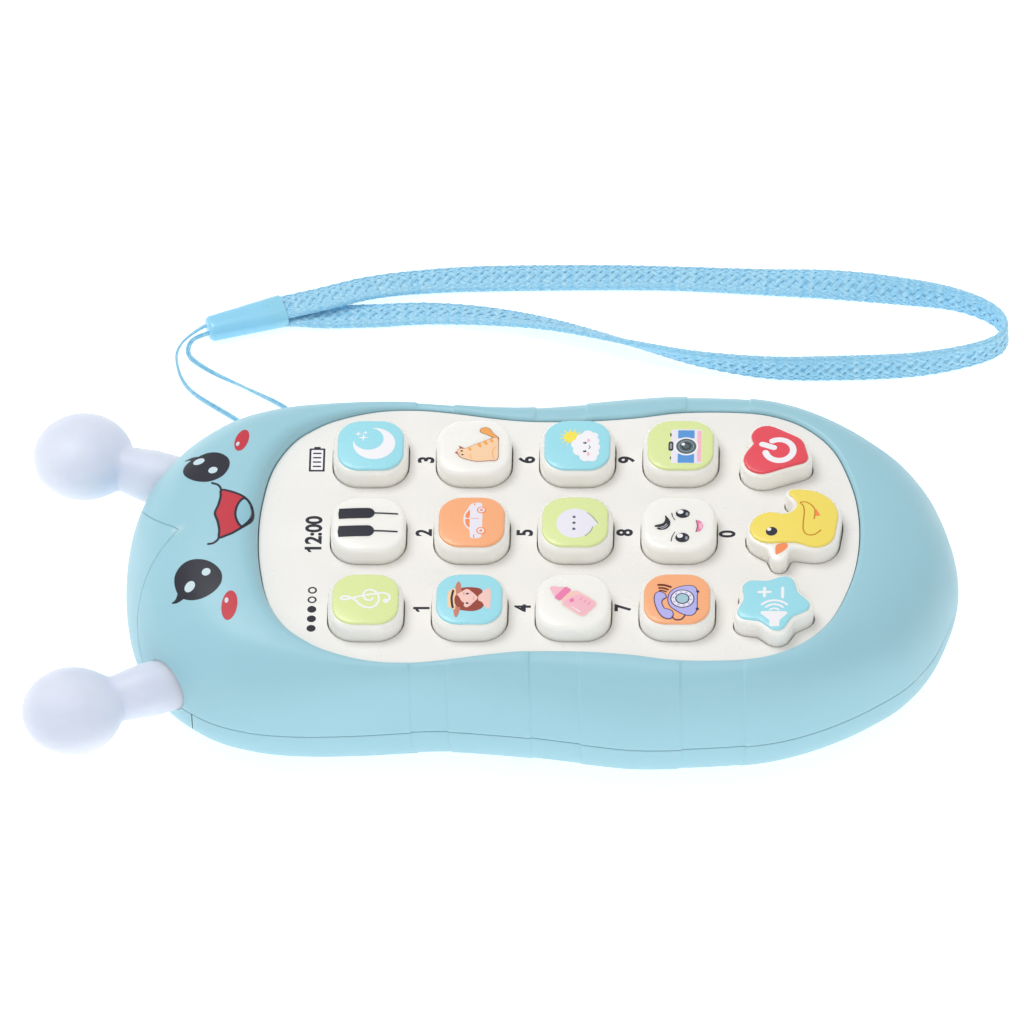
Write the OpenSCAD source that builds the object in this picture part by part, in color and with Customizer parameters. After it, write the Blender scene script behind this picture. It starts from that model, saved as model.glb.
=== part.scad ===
/* [Body] */
// height of the parting line between the front and rear housings
part_z = 13; // [11:0.5:15]
// height of the face plate's outer face above the flat back
plate_z = 28.2; // [26:0.1:30]
// thickness of the face plate
plate_t = 2; // [1.5:0.1:3]
// housing wall thickness
wall = 2; // [1.6:0.1:2.6]
// depth of the three bands round the body
band_depth = 0.5; // [0.2:0.1:1]

/* [Keys] */
// distance between neighbouring square keys
key_pitch = 18.87; // [17:0.01:21]
// centre of the first key column, head end
key_x0 = -22.3; // [-26:0.1:-18]
// width of a square key's base
key_w = 13.7; // [12:0.1:15]
// height of the keys' tops above the flat back
key_top_z = 32.6; // [31:0.1:34]
// how far a key goes in
key_travel = 1.2; // [0.8:0.1:1.5]
// gap round each key in the face plate
key_gap = 0.35; // [0.25:0.05:0.5]

/* [Antennae] */
// diameter of an antenna's flattened ball
ball_d = 18.4; // [16:0.1:20]
// thickness of the ball
ball_t = 12.8; // [10:0.1:16]
// outward splay of each antenna
splay = 21; // [10:1:30]

/* [Battery] */
// diameter of an AAA cell
cell_d = 10.5; // [10:0.1:10.8]
// length of a cell with its button
cell_l = 44.5; // [44:0.1:45]

/* [Lanyard] */
// diameter of the loop cord
loop_d = 0.9; // [0.7:0.1:1.2]
// width of the braided strap
strap_w = 6; // [5:0.5:8]
// thickness of the braided strap
strap_t = 1.2; // [0.8:0.1:1.6]

/* [Hidden] */
$fn = 48;
// one side from head to tail: parting x, parting half-width, plate x, plate half-width, crown height
side = [
  [-67, 0, -42.5, 0, 32], [-65.3, 14, -42, 8, 31.9], [-60.2, 24.2, -40.3, 16.3, 31.5],
  [-52.5, 31.2, -36.8, 22.9, 30.9], [-44.2, 34.5, -32.5, 26.7, 30.2],
  [-35, 35.6, -28, 29, 29.6], [-24, 35.4, -21.5, 30.8, 29.1], [-14.5, 34.7, -14.5, 31.2, 28.9],
  [-7.2, 34.5, -7.2, 30.4, 28.9], [0.5, 35.2, 0.5, 29.1, 28.9], [7.3, 36, 7.3, 28.4, 28.9],
  [17, 37.6, 17, 28.5, 28.9], [26, 38.9, 26, 29.3, 28.9], [34.8, 38.9, 34.8, 30.6, 28.9],
  [47, 38, 47, 30.4, 28.9], [55, 36.3, 54, 28.4, 28.9], [63, 32.9, 58.8, 25.1, 28.9],
  [70.5, 28.2, 62.2, 21, 28.9], [77, 22.4, 64.6, 15.6, 28.9], [82, 13.5, 66.6, 8.3, 28.9],
  [85, 0, 67.3, 0, 28.9]];
rim = concat(side, [for (i = [19:-1:1]) [side[i][0], -side[i][1], side[i][2], -side[i][3], side[i][4]]]);
bands = [7, 10, 13, 26, 29, 32];
function banded(i) = len([for (b = bands) if (b == i) b]) > 0;
stations = [for (i = [0:39]) each (banded(i) ? [i, i + 0.08, i + 0.5, i + 0.92] : [i, i + 0.5])];
function cr(a, b, c, d, t) =
  0.5 * (2 * b + (c - a) * t + (2 * a - 5 * b + 4 * c - d) * t * t + (3 * b - a - 3 * c + d) * t * t * t);
function at(t) = cr(rim[(floor(t) + 39) % 40], rim[floor(t) % 40], rim[(floor(t) + 1) % 40],
  rim[(floor(t) + 2) % 40], t - floor(t));
function sunk(t) = (banded(floor(t)) && t - floor(t) > 0.05) ? band_depth : 0;
function unit(v) = v / norm(v);
function mix(a, b, k) = a + (b - a) * k;
// superellipse quarter: share of the way out, and share of the way up
se = 2 / 2.3;
function out_k(a) = pow(max(cos(a), 0), se);
function up_k(a) = pow(sin(a), se);
// face plate outline, inset from the opening in the front housing
function outline(inset) = [for (t = stations)
  let (r = at(t), p = [r[2], r[3]], d = unit([r[0], r[1]] - p)) p - inset * d];

// closed section of the front housing at one station, as a list of points
function front_ring(t) =
  let (r = at(t), s = sunk(t), p = [r[2], r[3]], d = unit([r[0], r[1]] - p),
    b = [r[0], r[1]] - s * d, bi = [r[0], r[1]] - (wall + 0.2) * d,
    zc = r[4] - s, c = p + (0.9 + 0.9 * (r[4] - 28.9)) * d,
    ci = p + (1.2 + 0.6 * (r[4] - 28.9)) * d, pi = p - 0.6 * d, zi = zc - wall,
    zl = plate_z - plate_t, zb = zl - 1.6)
  [for (q = concat(
    [for (a = [0:15:90]) concat(mix(c, b, out_k(a)), mix(part_z, zc, up_k(a)))],
    [for (a = [45, 90]) concat(mix(c, p, sin(a)), plate_z + 0.1 + (zc - plate_z - 0.1) * cos(a))],
    [concat(p, zl), concat(pi, zl), concat(pi, zb), concat(ci, zb)],
    [for (a = [80, 55, 30, 0]) concat(mix(ci, bi, out_k(a)), mix(part_z, zi, up_k(a)))])) q];

function flat_of(p) = [10 + (p[0] - 10) * 0.8, p[1] * 0.56];
// rear housing rings from the back's outline up and round the rim to the inside floor
function rear_ring(t) =
  let (r = at(t), s = sunk(t), p = [r[2], r[3]], d = unit([r[0], r[1]] - p),
    b0 = [r[0], r[1]], b = b0 - s * d, f = flat_of(b0), bi = b0 - (wall + 0.2) * d, fi = flat_of(bi))
  concat(
    [for (a = [90, 72, 54, 36, 18, 0]) concat(mix(f, b, out_k(a)), part_z * (1 - up_k(a)))],
    [for (a = [0, 20, 42, 64, 90]) concat(mix(fi, bi, out_k(a)), part_z - (part_z - wall) * up_k(a))]);

module ring_solid(rings) {
  n = len(rings);
  m = len(rings[0]);
  polyhedron(points = [for (r = rings) each r], faces = [for (i = [0:n - 1], j = [0:m - 1])
    let (i2 = (i + 1) % n, j2 = (j + 1) % m)
      each [[i * m + j, i2 * m + j, i2 * m + j2], [i * m + j, i2 * m + j2, i * m + j2]]]);
}

module bowl_solid(rings) {
  n = len(rings);
  m = len(rings[0]);
  polyhedron(points = [for (r = rings) each r], faces = concat(
    [[for (i = [0:n - 1]) i * m]], [[for (i = [n - 1:-1:0]) i * m + m - 1]],
    [for (i = [0:n - 1], j = [0:m - 2]) let (i2 = (i + 1) % n)
      each [[i * m + j, i2 * m + j, i2 * m + j + 1], [i * m + j, i2 * m + j + 1, i * m + j + 1]]]));
}

module front_shell() ring_solid([for (t = stations) front_ring(t)]);
module rear_shell() bowl_solid([for (t = stations) rear_ring(t)]);

// pointed region of the separate piece on the head's front, seen square to its slope
cap_half = [[-21, 1.2], [-24, 3], [-27.5, 5.5], [-31, 8.8], [-34, 12.5], [-36, 17], [-36.4, 22]];
module cap_zone() {
  rotate([0, -45, 0]) translate([0, 0, 20])
    linear_extrude(50)
      polygon(concat([[-19, 0]], cap_half, [[-60, 24], [-60, -24]],
        [for (i = [len(cap_half) - 1:-1:0]) [cap_half[i][0], -cap_half[i][1]]]));
}
module under_zone() translate([-90, -50, -2]) cube([35.8, 100, part_z + 2]);

// antenna: root inside the head, axis runs out to the ball
ant_z = 15.4;
root = [-60.4, 25.4];
neck_r = 4.9;
ball_c = [-75.8, 31.5];
module antenna_frame(side_y)
  translate([root[0], side_y * root[1], ant_z]) rotate([0, -90, -side_y * splay]) children();
module antenna_hole(side_y)
  antenna_frame(side_y) translate([0, 0, -7]) cylinder(r = neck_r, h = 22);

module antenna(side_y) {
  antenna_frame(side_y) {
    translate([0, 0, -8.8]) cylinder(r = 6.2, h = 1.4);
    translate([0, 0, -7.4]) cylinder(r = neck_r, h = 12.4);
    translate([0, 0, 5]) cylinder(r1 = neck_r, r2 = 4.2, h = 7);
  }
  translate([ball_c[0], side_y * ball_c[1], ant_z])
    rotate_extrude($fn = 72) polygon([for (a = [-90:10:90]) [cos(a) * ball_d / 2, sin(a) * ball_t / 2]]);
}

// underside of the face plate, key flanges below it, and rubber pads that the pressed keys just reach
plate_under_z = plate_z - plate_t;
flange_t = 1.4;
flange_z = plate_under_z - 0.3 - flange_t;
pad_top_z = flange_z - key_travel - 0.3;
// circuit board with the rubber keypad's web on it
board_z = 18;
board_t = 1.6;
web_z = board_z + board_t;
web_t = 1.2;
pad_z = web_z + web_t;
// screw posts below the front housing: long ones, and short ones that pass the board
post_h = 12.4;
mid_post_h = 9.8;

// case screws: x, y
case_at = [[-36.5, 25], [-36.5, -25], [6, 26.8], [6, -26.8], [65.5, 18], [65.5, -18]];
// board screws: x, y
board_at = [[-12.9, 9.45], [-12.9, -9.45], [24.9, 9.45], [24.9, -9.45]];
speaker_at = [46, 0];
bay = [-38.5, 12];
bay_w = 11.4;

module front_housing() {
  color([0.65, 0.83, 0.88]) difference() {
    union() {
      front_shell();
      for (s = case_at) translate([s[0], s[1], part_z]) cylinder(r = 2.8, h = s[0] == 6 ? mid_post_h : post_h);
      for (k = [-1, 1]) translate([5.2, k > 0 ? 28 : -34.5, part_z]) cube([1.6, 6.5, mid_post_h]);
    }
    cap_zone();
    for (s = case_at) translate([s[0], s[1], part_z - 1]) cylinder(r = 1.3, h = 9);
    for (k = [-1, 1]) antenna_hole(k);
  }
}

module grille() {
  for (k = [0:5], j = [1:2], i = [0:j - 1])
    rotate([0, 0, 60 * k + (j == 2 ? 30 * i : 0)])
      translate([3.2 * j * (i == 1 ? 0.866 : 1), 0, -1])
        cylinder(r = 0.9, h = 5, $fn = 36);
  translate([0, 0, -1]) cylinder(r = 0.9, h = 5, $fn = 36);
}

module bay_cuts() {
  translate([bay[0], -bay_w, -1]) cube([bay[1] - bay[0], 2 * bay_w, 14.4]);
  translate([-40.3, -13, -1]) cube([59.6, 26, 2.7]);
  translate([15.6, 0, 0]) cylinder(r = 1.55, h = 6);
  for (k = [-1, 1]) translate([-42.6, 7 * k - 2.9, 1.7]) cube([4.2, 5.8, 2.6]);
}

module lanyard_holes() {
  for (x = [-35, -28]) translate([x, 38, 10]) rotate([90, 0, 0]) cylinder(r = 1.3, h = 8);
}

module rear_housing() {
  color([0.62, 0.8, 0.86]) difference() {
    union() {
      rear_shell();
      for (s = case_at) translate([s[0], s[1], wall - 0.1]) cylinder(r = 3.3, h = part_z - wall + 0.1);
      translate([-44.5, -14.5, wall - 0.5]) cube([65.5, 29, 13.3]);
      translate([speaker_at[0], speaker_at[1], wall - 0.5]) difference() {
        cylinder(r = 15.9, h = 3.5);
        translate([0, 0, -1]) cylinder(r = 14.6, h = 6);
      }
    }
    under_zone();
    for (s = case_at) translate([s[0], s[1], -1]) cylinder(r = 2.4, h = 6.5);
    for (s = case_at) translate([s[0], s[1], 0]) cylinder(r = 1.5, h = part_z + 1);
    translate([speaker_at[0], speaker_at[1], 0]) grille();
    bay_cuts();
    lanyard_holes();
  }
}

module head_cap() {
  color([0.63, 0.82, 0.88]) difference() {
    union() {
      intersection() {
        front_shell();
        cap_zone();
      }
      intersection() {
        rear_shell();
        under_zone();
      }
    }
    for (k = [-1, 1]) antenna_hole(k);
  }
}

// rounded square about the origin
module rsq(w, r) {
  square([w - 2 * r, w], center = true);
  square([w, w - 2 * r], center = true);
  for (x = [-1, 1], y = [-1, 1]) translate([x * (w / 2 - r), y * (w / 2 - r)]) circle(r);
}
// heart, tip towards the tail
module heart2(g) rotate(73) {
  for (k = [-1, 1]) translate([2.75 * k, 1.9]) circle(3.35 + g);
  polygon([[-5.9 - g, 0.7], [0, -6.1 - 1.3 * g], [5.9 + g, 0.7], [2.75, 4], [-2.75, 4]]);
}
// duck seen from its side, head towards the phone's head
module duck2(g) {
  difference() {
    union() {
      translate([1.6, 1]) circle(6.9 + g);
      translate([-4, -1.6]) circle(3.85 + g);
      translate([-4, -5.4 - g]) square([5, 6]);
    }
    translate([-1, 4.9]) circle(2.4 - g / 2);
    translate([-12, 2.7 + g * 0.7]) square([11 - g, 9]);
  }
  translate([-2.3, -6.9]) circle(1.3 + g);
  translate([-3.4 - g, -6.9]) square([2.4 + 2 * g, 3]);
}
// rounded five-pointed star
module star2(g) rotate(-10) {
  polygon([for (i = [0:9]) (i % 2 == 0 ? 6 + g : 5 + g) * [cos(36 * i), sin(36 * i)]]);
  for (i = [0:4]) rotate(72 * i) translate([5, 0]) circle(1.9 + g);
}
// border between a shaped key's skin and its base
border = 0.7;
module outline2(kind, g) {
  if (kind == 0) rsq(key_w + 2 * g, 4.5 + g);
  if (kind == 1) heart2(g + border);
  if (kind == 2) duck2(g + border);
  if (kind == 3) star2(g + border);
}
heart_at = [51.7, 17.6];
duck_at = [55, 0];
star_at = [51.6, -19.6];
function key_at(col, row) = [key_x0 + col * key_pitch, row * 18.9];
// keys' slightly domed tops, and the step at their rounded edge
dome_r = 60;
film_t = 0.4;
stem_top_z = key_top_z - 1.4;

module key(pos, kind) {
  translate([pos[0], pos[1], 0]) intersection() {
    union() {
      translate([0, 0, flange_z]) linear_extrude(flange_t) outline2(kind, kind == 0 ? 0.75 : 0.6);
      translate([0, 0, flange_z + flange_t]) linear_extrude(stem_top_z - flange_z - flange_t) outline2(kind, 0);
      translate([0, 0, stem_top_z]) linear_extrude(2) outline2(kind, -0.5);
    }
    translate([0, 0, key_top_z - film_t - dome_r]) sphere(dome_r, $fn = 180);
  }
}
// coloured skin on a key's domed top
module film(pos, kind, g) {
  translate([pos[0], pos[1], 0]) intersection() {
    translate([0, 0, plate_z]) linear_extrude(6) outline2(kind, g);
    difference() {
      translate([0, 0, key_top_z - dome_r]) sphere(dome_r, $fn = 180);
      translate([0, 0, key_top_z - film_t - dome_r]) sphere(dome_r, $fn = 180);
    }
  }
}
cream = [0.95, 0.93, 0.89];
cyan = [0.59, 0.87, 0.93];
green = [0.88, 0.93, 0.61];
orange = [1, 0.69, 0.48];
module square_key(col, row) color(cream) key(key_at(col, row), 0);
module square_film(col, row, tint) color(tint) film(key_at(col, row), 0, -1);

module key_music() square_key(0, -1);
module key_girl() square_key(1, -1);
module key_bottle() square_key(2, -1);
module key_telephone() square_key(3, -1);
module key_piano() square_key(0, 0);
module key_car() square_key(1, 0);
module key_message() square_key(2, 0);
module key_baby() square_key(3, 0);
module key_moon() square_key(0, 1);
module key_cat() square_key(1, 1);
module key_weather() square_key(2, 1);
module key_camera() square_key(3, 1);
module key_heart() color(cream) key(heart_at, 1);
module key_duck() color(cream) key(duck_at, 2);
module key_star() color(cream) key(star_at, 3);
module film_music() square_film(0, -1, green);
module film_girl() square_film(1, -1, cyan);
module film_telephone() square_film(3, -1, orange);
module film_car() square_film(1, 0, orange);
module film_message() square_film(2, 0, green);
module film_moon() square_film(0, 1, cyan);
module film_weather() square_film(2, 1, cyan);
module film_camera() square_film(3, 1, green);
module cap_heart() color([0.93, 0.3, 0.36]) film(heart_at, 1, -border);
module cap_duck() color([0.97, 0.87, 0.36]) film(duck_at, 2, -border);
module cap_star() color([0.57, 0.87, 0.92]) film(star_at, 3, -border);

module face_plate() {
  color([0.94, 0.93, 0.92]) difference() {
    union() {
      translate([0, 0, plate_z - plate_t]) linear_extrude(plate_t) polygon(outline(0.35));
      for (s = board_at) translate([s[0], s[1], web_z]) cylinder(r = 2.2, h = plate_z - plate_t - web_z + 0.4);
    }
    translate([0, 0, pad_z]) linear_extrude(12) {
      for (c = [0:3], r = [-1:1]) translate(key_at(c, r)) outline2(0, key_gap);
      translate(heart_at) outline2(1, key_gap);
      translate(duck_at) outline2(2, key_gap);
      translate(star_at) outline2(3, key_gap);
    }
    for (s = board_at) translate([s[0], s[1], board_z]) cylinder(r = 1, h = 7);
  }
}

module board_outline() {
  polygon([[-31, -22], [-25, -26], [58, -26], [62, -16], [62, 16], [58, 26], [-25, 26], [-31, 22]]);
}
module rubber_keypad() {
  color([0.5, 0.52, 0.55]) difference() {
    union() {
      translate([0, 0, web_z]) linear_extrude(web_t) board_outline();
      for (c = [0:3], r = [-1:1])
        translate(concat(key_at(c, r), pad_z)) cylinder(r1 = 5, r2 = 3.8, h = pad_top_z - pad_z);
      for (p = [heart_at, duck_at, star_at])
        translate(concat(p, pad_z)) cylinder(r1 = 4.4, r2 = 3.6, h = pad_top_z - pad_z);
    }
    for (s = board_at) translate([s[0], s[1], web_z - 1]) cylinder(r = 2.5, h = 4);
    for (k = [-1, 1]) translate([6, 26.8 * k, web_z - 1]) cylinder(r = 3.6, h = 4);
  }
}
module circuit_board() {
  color([0.1, 0.4, 0.2]) difference() {
    translate([0, 0, board_z]) linear_extrude(board_t) board_outline();
    for (s = board_at) translate([s[0], s[1], board_z - 1]) cylinder(r = 1, h = 4);
    for (k = [-1, 1]) translate([6, 26.8 * k, board_z - 1]) cylinder(r = 3.6, h = 4);
  }
}
module sound_chip() color([0.08, 0.08, 0.09]) intersection() {
  translate([34, 14, board_z - 2.4]) cylinder(r = 4.6, h = 2.4);
  translate([34, 14, board_z + 3.4]) sphere(6, $fn = 64);
}
module speaker() {
  color([0.2, 0.2, 0.22]) translate([speaker_at[0], speaker_at[1], wall]) {
    difference() {
      cylinder(r = 14.5, h = 2.6);
      translate([0, 0, -1]) cylinder(r = 12.5, h = 2);
    }
    translate([0, 0, 2.6]) cylinder(r1 = 13.2, r2 = 8.4, h = 3.4);
    translate([0, 0, 6]) cylinder(r = 8, h = 3.6);
  }
}
module speaker_wires() {
  color([0.8, 0.15, 0.12]) for (k = [-1.5, 1.5])
    translate([speaker_at[0] + k, 0, wall + 9.6]) cylinder(r = 0.6, h = board_z - wall - 9.6);
}
module cell(flip, y) {
  translate([flip > 0 ? bay[1] - 0.5 : bay[0] + 0.5, y, 8]) rotate([0, -90 * flip, 0]) {
    cylinder(r = 1.9, h = 1.2);
    translate([0, 0, 1.2]) cylinder(d = cell_d, h = cell_l - 1.2);
  }
}
module batteries() {
  color([0.75, 0.6, 0.25]) {
    cell(1, 5.6);
    cell(-1, -5.6);
  }
}
// one coil as a swept wire along x
function coil_pt(a, r) = [a / 360 * 1.25, r * cos(a), r * sin(a)];
module coil() {
  ring_n = 48;
  rings = [for (i = [0:ring_n])
    let (a = i * 30, c = coil_pt(a, 3.4 - 0.6 * i / ring_n), v = [0, cos(a), sin(a)])
    [for (j = [0:5]) c + 0.32 * (cos(60 * j) * v + sin(60 * j) * [1, 0, 0])]];
  polyhedron(points = [for (r = rings) each r], faces = concat(
    [[for (j = [0:5]) j]], [[for (j = [5:-1:0]) ring_n * 6 + j]],
    [for (i = [0:ring_n - 1], j = [0:5]) let (j2 = (j + 1) % 6)
      each [[i * 6 + j, i * 6 + 6 + j, i * 6 + 6 + j2], [i * 6 + j, i * 6 + 6 + j2, i * 6 + j2]]]));
}
spring_room = bay[1] - bay[0] - 1 - cell_l;
module battery_springs() {
  color([0.75, 0.76, 0.78]) {
    translate([bay[0] + 0.5 + 0.33, 5.6, 8]) scale([(spring_room - 0.7) / 5, 1, 1]) coil();
    translate([bay[1] - 0.5 - 0.33, -5.6, 8]) rotate([0, 0, 180]) scale([(spring_room - 0.7) / 5, 1, 1]) coil();
  }
}
module battery_contacts() {
  color([0.78, 0.79, 0.8]) for (x = [bay[0], bay[1] - 0.5], y = [-5.6, 5.6])
    translate([x, y - 4.2, 4.2]) cube([0.5, 8.4, 8]);
}
module battery_wires() {
  color([0.1, 0.1, 0.11]) for (k = [-1, 1])
    translate([-22 + 2 * k, 0, 14.8]) cylinder(r = 0.6, h = board_z - 14.8);
}
module board_screws() {
  color([0.7, 0.71, 0.73]) for (s = board_at) translate([s[0], s[1], 0]) {
    translate([0, 0, board_z - 1.2]) cylinder(r = 2, h = 1.2);
    translate([0, 0, board_z]) cylinder(r = 1, h = 6);
  }
}
module case_screws() {
  color([0.7, 0.71, 0.73]) for (s = case_at) translate([s[0], s[1], 0]) difference() {
    union() {
      translate([0, 0, 3.7]) cylinder(r = 2.2, h = 1.8);
      translate([0, 0, 5.5]) cylinder(r = 1.3, h = 14);
    }
    for (q = [0, 90]) rotate(q) translate([-1.6, -0.35, 3]) cube([3.2, 0.7, 1.5]);
  }
}
module battery_door() {
  color([0.62, 0.8, 0.86]) difference() {
    union() {
      translate([-40, -12.7, 0]) cube([59, 25.4, 1.6]);
      for (k = [-1, 1]) {
        translate([-41.8, 7 * k - 2.5, 1.9]) cube([2.9, 5, 1.2]);
        translate([-39.8, 7 * k - 2.5, 1]) cube([0.9, 5, 2]);
      }
    }
    translate([15.6, 0, -1]) cylinder(r = 2.3, h = 2);
    translate([15.6, 0, 0]) cylinder(r = 1.2, h = 3);
    for (i = [0:4]) translate([2 + 2.2 * i, -5, -1]) cube([1, 10, 1.4]);
  }
}
module battery_door_screw() {
  color([0.7, 0.71, 0.73]) translate([15.6, 0, 0]) difference() {
    union() {
      translate([0, 0, 0.1]) cylinder(r = 2.1, h = 0.9);
      cylinder(r = 1.2, h = 4.8);
    }
    for (q = [0, 90]) rotate(q) translate([-1.3, -0.3, -1]) cube([2.6, 0.6, 1.6]);
  }
}
module antenna_left() color([0.84, 0.86, 0.91, 0.8]) antenna(-1);
module antenna_right() color([0.84, 0.86, 0.91, 0.8]) antenna(1);

// closed tube through a list of rings
module tube(rings) {
  n = len(rings);
  m = len(rings[0]);
  polyhedron(points = [for (r = rings) each r], faces = concat(
    [[for (j = [m - 1:-1:0]) j]], [[for (j = [0:m - 1]) (n - 1) * m + j]],
    [for (i = [0:n - 2], j = [0:m - 1]) let (j2 = (j + 1) % m)
      each [[i * m + j, i * m + j2, i * m + m + j2], [i * m + j, i * m + m + j2, i * m + m + j]]]));
}
function smooth(q, k) = let (n = len(q)) concat([for (i = [0:n - 2], s = [0:k - 1])
  cr(q[max(i - 1, 0)], q[i], q[i + 1], q[min(i + 2, n - 1)], s / k)], [q[n - 1]]);
function tangent(q, i) = unit(q[min(i + 1, len(q) - 1)] - q[max(i - 1, 0)]);

// thin cord: sleeve, first hole, round the bar inside, second hole, sleeve
loop_route = [[-52, 77.4, 2.2], [-55.5, 76.2, 1.9], [-59.5, 73, 0.8], [-60.3, 68.5, 0.6], [-57.7, 61.6, 0.6],
  [-49.5, 54.5, 0.7], [-43, 48, 2], [-38.5, 42, 5.8], [-35.6, 37.4, 9.4], [-35, 34.2, 10], [-34, 32.2, 10],
  [-31.5, 31.5, 10], [-29, 32.2, 10], [-28, 34.2, 10], [-28.8, 38, 9.2], [-31.5, 43.5, 5.6], [-35, 50, 2],
  [-40, 57, 0.7], [-47, 61.8, 0.6], [-54, 66.2, 0.6], [-58, 70, 0.7], [-57.6, 73, 1.5], [-54.6, 74.4, 2.1],
  [-51.4, 75.6, 2.2]];
// strap: x, y, roll from lying flat, lift above the surface
strap_route = [[-43.5, 79.2, 0, 2.2], [-40, 80.3, 0, 2.2], [-34, 81.8, 0, 2.1], [-24.4, 84.8, 0, 1.6],
  [-14, 86.8, 8, 0.3], [-2, 87, 20, 0], [19, 87.2, 15, 0], [33, 87, 10, 0],
  [49, 85.8, 20, 0], [60, 84.6, 40, 0], [73, 82.8, 65, 0],
  [83, 81.2, 85, 0], [89.6, 78.6, 90, 0], [92.6, 74.6, 90, 0], [91.6, 70.4, 90, 0], [86, 67.2, 85, 0],
  [76, 65, 65, 0], [62.5, 64, 30, 0], [49, 64.8, 0, 0], [36, 66.8, -20, 0], [24, 70.2, -35, 0],
  [10, 74.6, -35, 0], [-2, 77.6, -20, 0], [-14, 79.2, -10, 0], [-24, 79.2, 0, 0], [-33, 79, 0, 0.4],
  [-39, 79.4, 0, 0.8], [-43.4, 79.2, 0, 0.8]];

module lanyard_loop() {
  q = smooth(loop_route, 2);
  color([0.5, 0.78, 0.93]) tube([for (i = [0:len(q) - 1])
    let (t = tangent(q, i), u = unit(cross([0.05, 0.02, 1], t)), v = cross(t, u))
    [for (j = [0:7]) q[i] + loop_d / 2 * (cos(45 * j) * u + sin(45 * j) * v)]]);
}
module lanyard_strap() {
  q = smooth(strap_route, 2);
  p = [for (r = q) [r[0], r[1], r[3] + strap_w / 2 * abs(sin(r[2])) + strap_t / 2 * cos(r[2]) + 0.05]];
  color([0.47, 0.75, 0.91]) tube([for (i = [0:len(q) - 1])
    let (t = tangent(p, i), u = unit(cross([0, 0, 1], t)),
    v = cross(t, u), a = q[i][2], su = cos(a) * u + sin(a) * v, sv = cos(a) * v - sin(a) * u)
    [for (c = [[1, 0], [0.85, 1], [0, 1], [-0.85, 1], [-1, 0], [-0.85, -1], [0, -1], [0.85, -1]])
      p[i] + c[0] * strap_w / 2 * su + c[1] * strap_t / 2 * sv]]);
}
// tapered rigid sleeve that joins cord and strap
module lanyard_sleeve() {
  color([0.55, 0.82, 0.96]) translate([-47.8, 77.6, 2.15]) rotate([0, 0, 19]) hull() {
    translate([-6.9, 0, 0]) rotate([0, 90, 0]) scale([0.8, 1, 1])
      cylinder(r = 2.4, h = 1, center = true, $fn = 28);
    translate([6.9, 0, 0]) rotate([0, 90, 0]) scale([0.62, 1, 1])
      cylinder(r = 3.4, h = 1, center = true, $fn = 28);
  }
}

front_housing();
rear_housing();
head_cap();
face_plate();
key_music();
key_girl();
key_bottle();
key_telephone();
key_piano();
key_car();
key_message();
key_baby();
key_moon();
key_cat();
key_weather();
key_camera();
key_heart();
key_duck();
key_star();
film_music();
film_girl();
film_telephone();
film_car();
film_message();
film_moon();
film_weather();
film_camera();
cap_heart();
cap_duck();
cap_star();
rubber_keypad();
circuit_board();
sound_chip();
speaker();
speaker_wires();
batteries();
battery_springs();
battery_contacts();
battery_wires();
board_screws();
case_screws();
battery_door();
battery_door_screw();
antenna_left();
antenna_right();
lanyard_loop();
lanyard_sleeve();
lanyard_strap();
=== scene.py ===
from math import acos, atan2, ceil, copysign, cos, degrees, dist, floor, hypot, pi, radians, sin, sqrt

import bmesh
import bpy
import numpy as np
from mathutils import Matrix, Vector, geometry
from mathutils.bvhtree import BVHTree


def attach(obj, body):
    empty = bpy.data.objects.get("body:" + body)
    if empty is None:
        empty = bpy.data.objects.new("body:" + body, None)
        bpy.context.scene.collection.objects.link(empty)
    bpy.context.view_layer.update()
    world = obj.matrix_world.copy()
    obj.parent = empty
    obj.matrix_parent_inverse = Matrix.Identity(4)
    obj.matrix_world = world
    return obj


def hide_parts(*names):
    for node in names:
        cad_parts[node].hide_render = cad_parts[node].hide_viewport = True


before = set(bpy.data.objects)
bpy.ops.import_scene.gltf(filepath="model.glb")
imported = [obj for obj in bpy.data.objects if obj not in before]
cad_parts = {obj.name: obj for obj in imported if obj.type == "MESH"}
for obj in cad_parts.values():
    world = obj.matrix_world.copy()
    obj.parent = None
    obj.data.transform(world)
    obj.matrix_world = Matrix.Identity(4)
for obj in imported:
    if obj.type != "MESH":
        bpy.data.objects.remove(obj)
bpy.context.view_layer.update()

MM = 0.001
UP = Vector((0, 0, 1))

# ---------------- driving dimensions, millimetres
PART_Z = 13.0            # parting line between the two housings
PART_GAP = 0.03          # each housing stops this far short of it
PLATE_Z = 28.2           # outer face of the face plate
PLATE_T = 2.0
WALL = 2.0
BAND_DEPTH = 0.24        # depth of the three bands round the body
KEY_PITCH = 18.87
ROW_PITCH = 18.9
KEY_X0 = -22.3
KEY_W = 13.7
KEY_CORNER = 4.95
KEY_TOP_Z = 32.52
KEY_GAP = 0.2
DOME_R = 60.0
SKIN_T = 0.4
FLANGE_Z = 24.5
FLANGE_T = 1.4
HEART_AT = (51.7, 17.6)
DUCK_AT = (55.0, 0.0)
STAR_AT = (51.6, -19.6)

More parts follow.
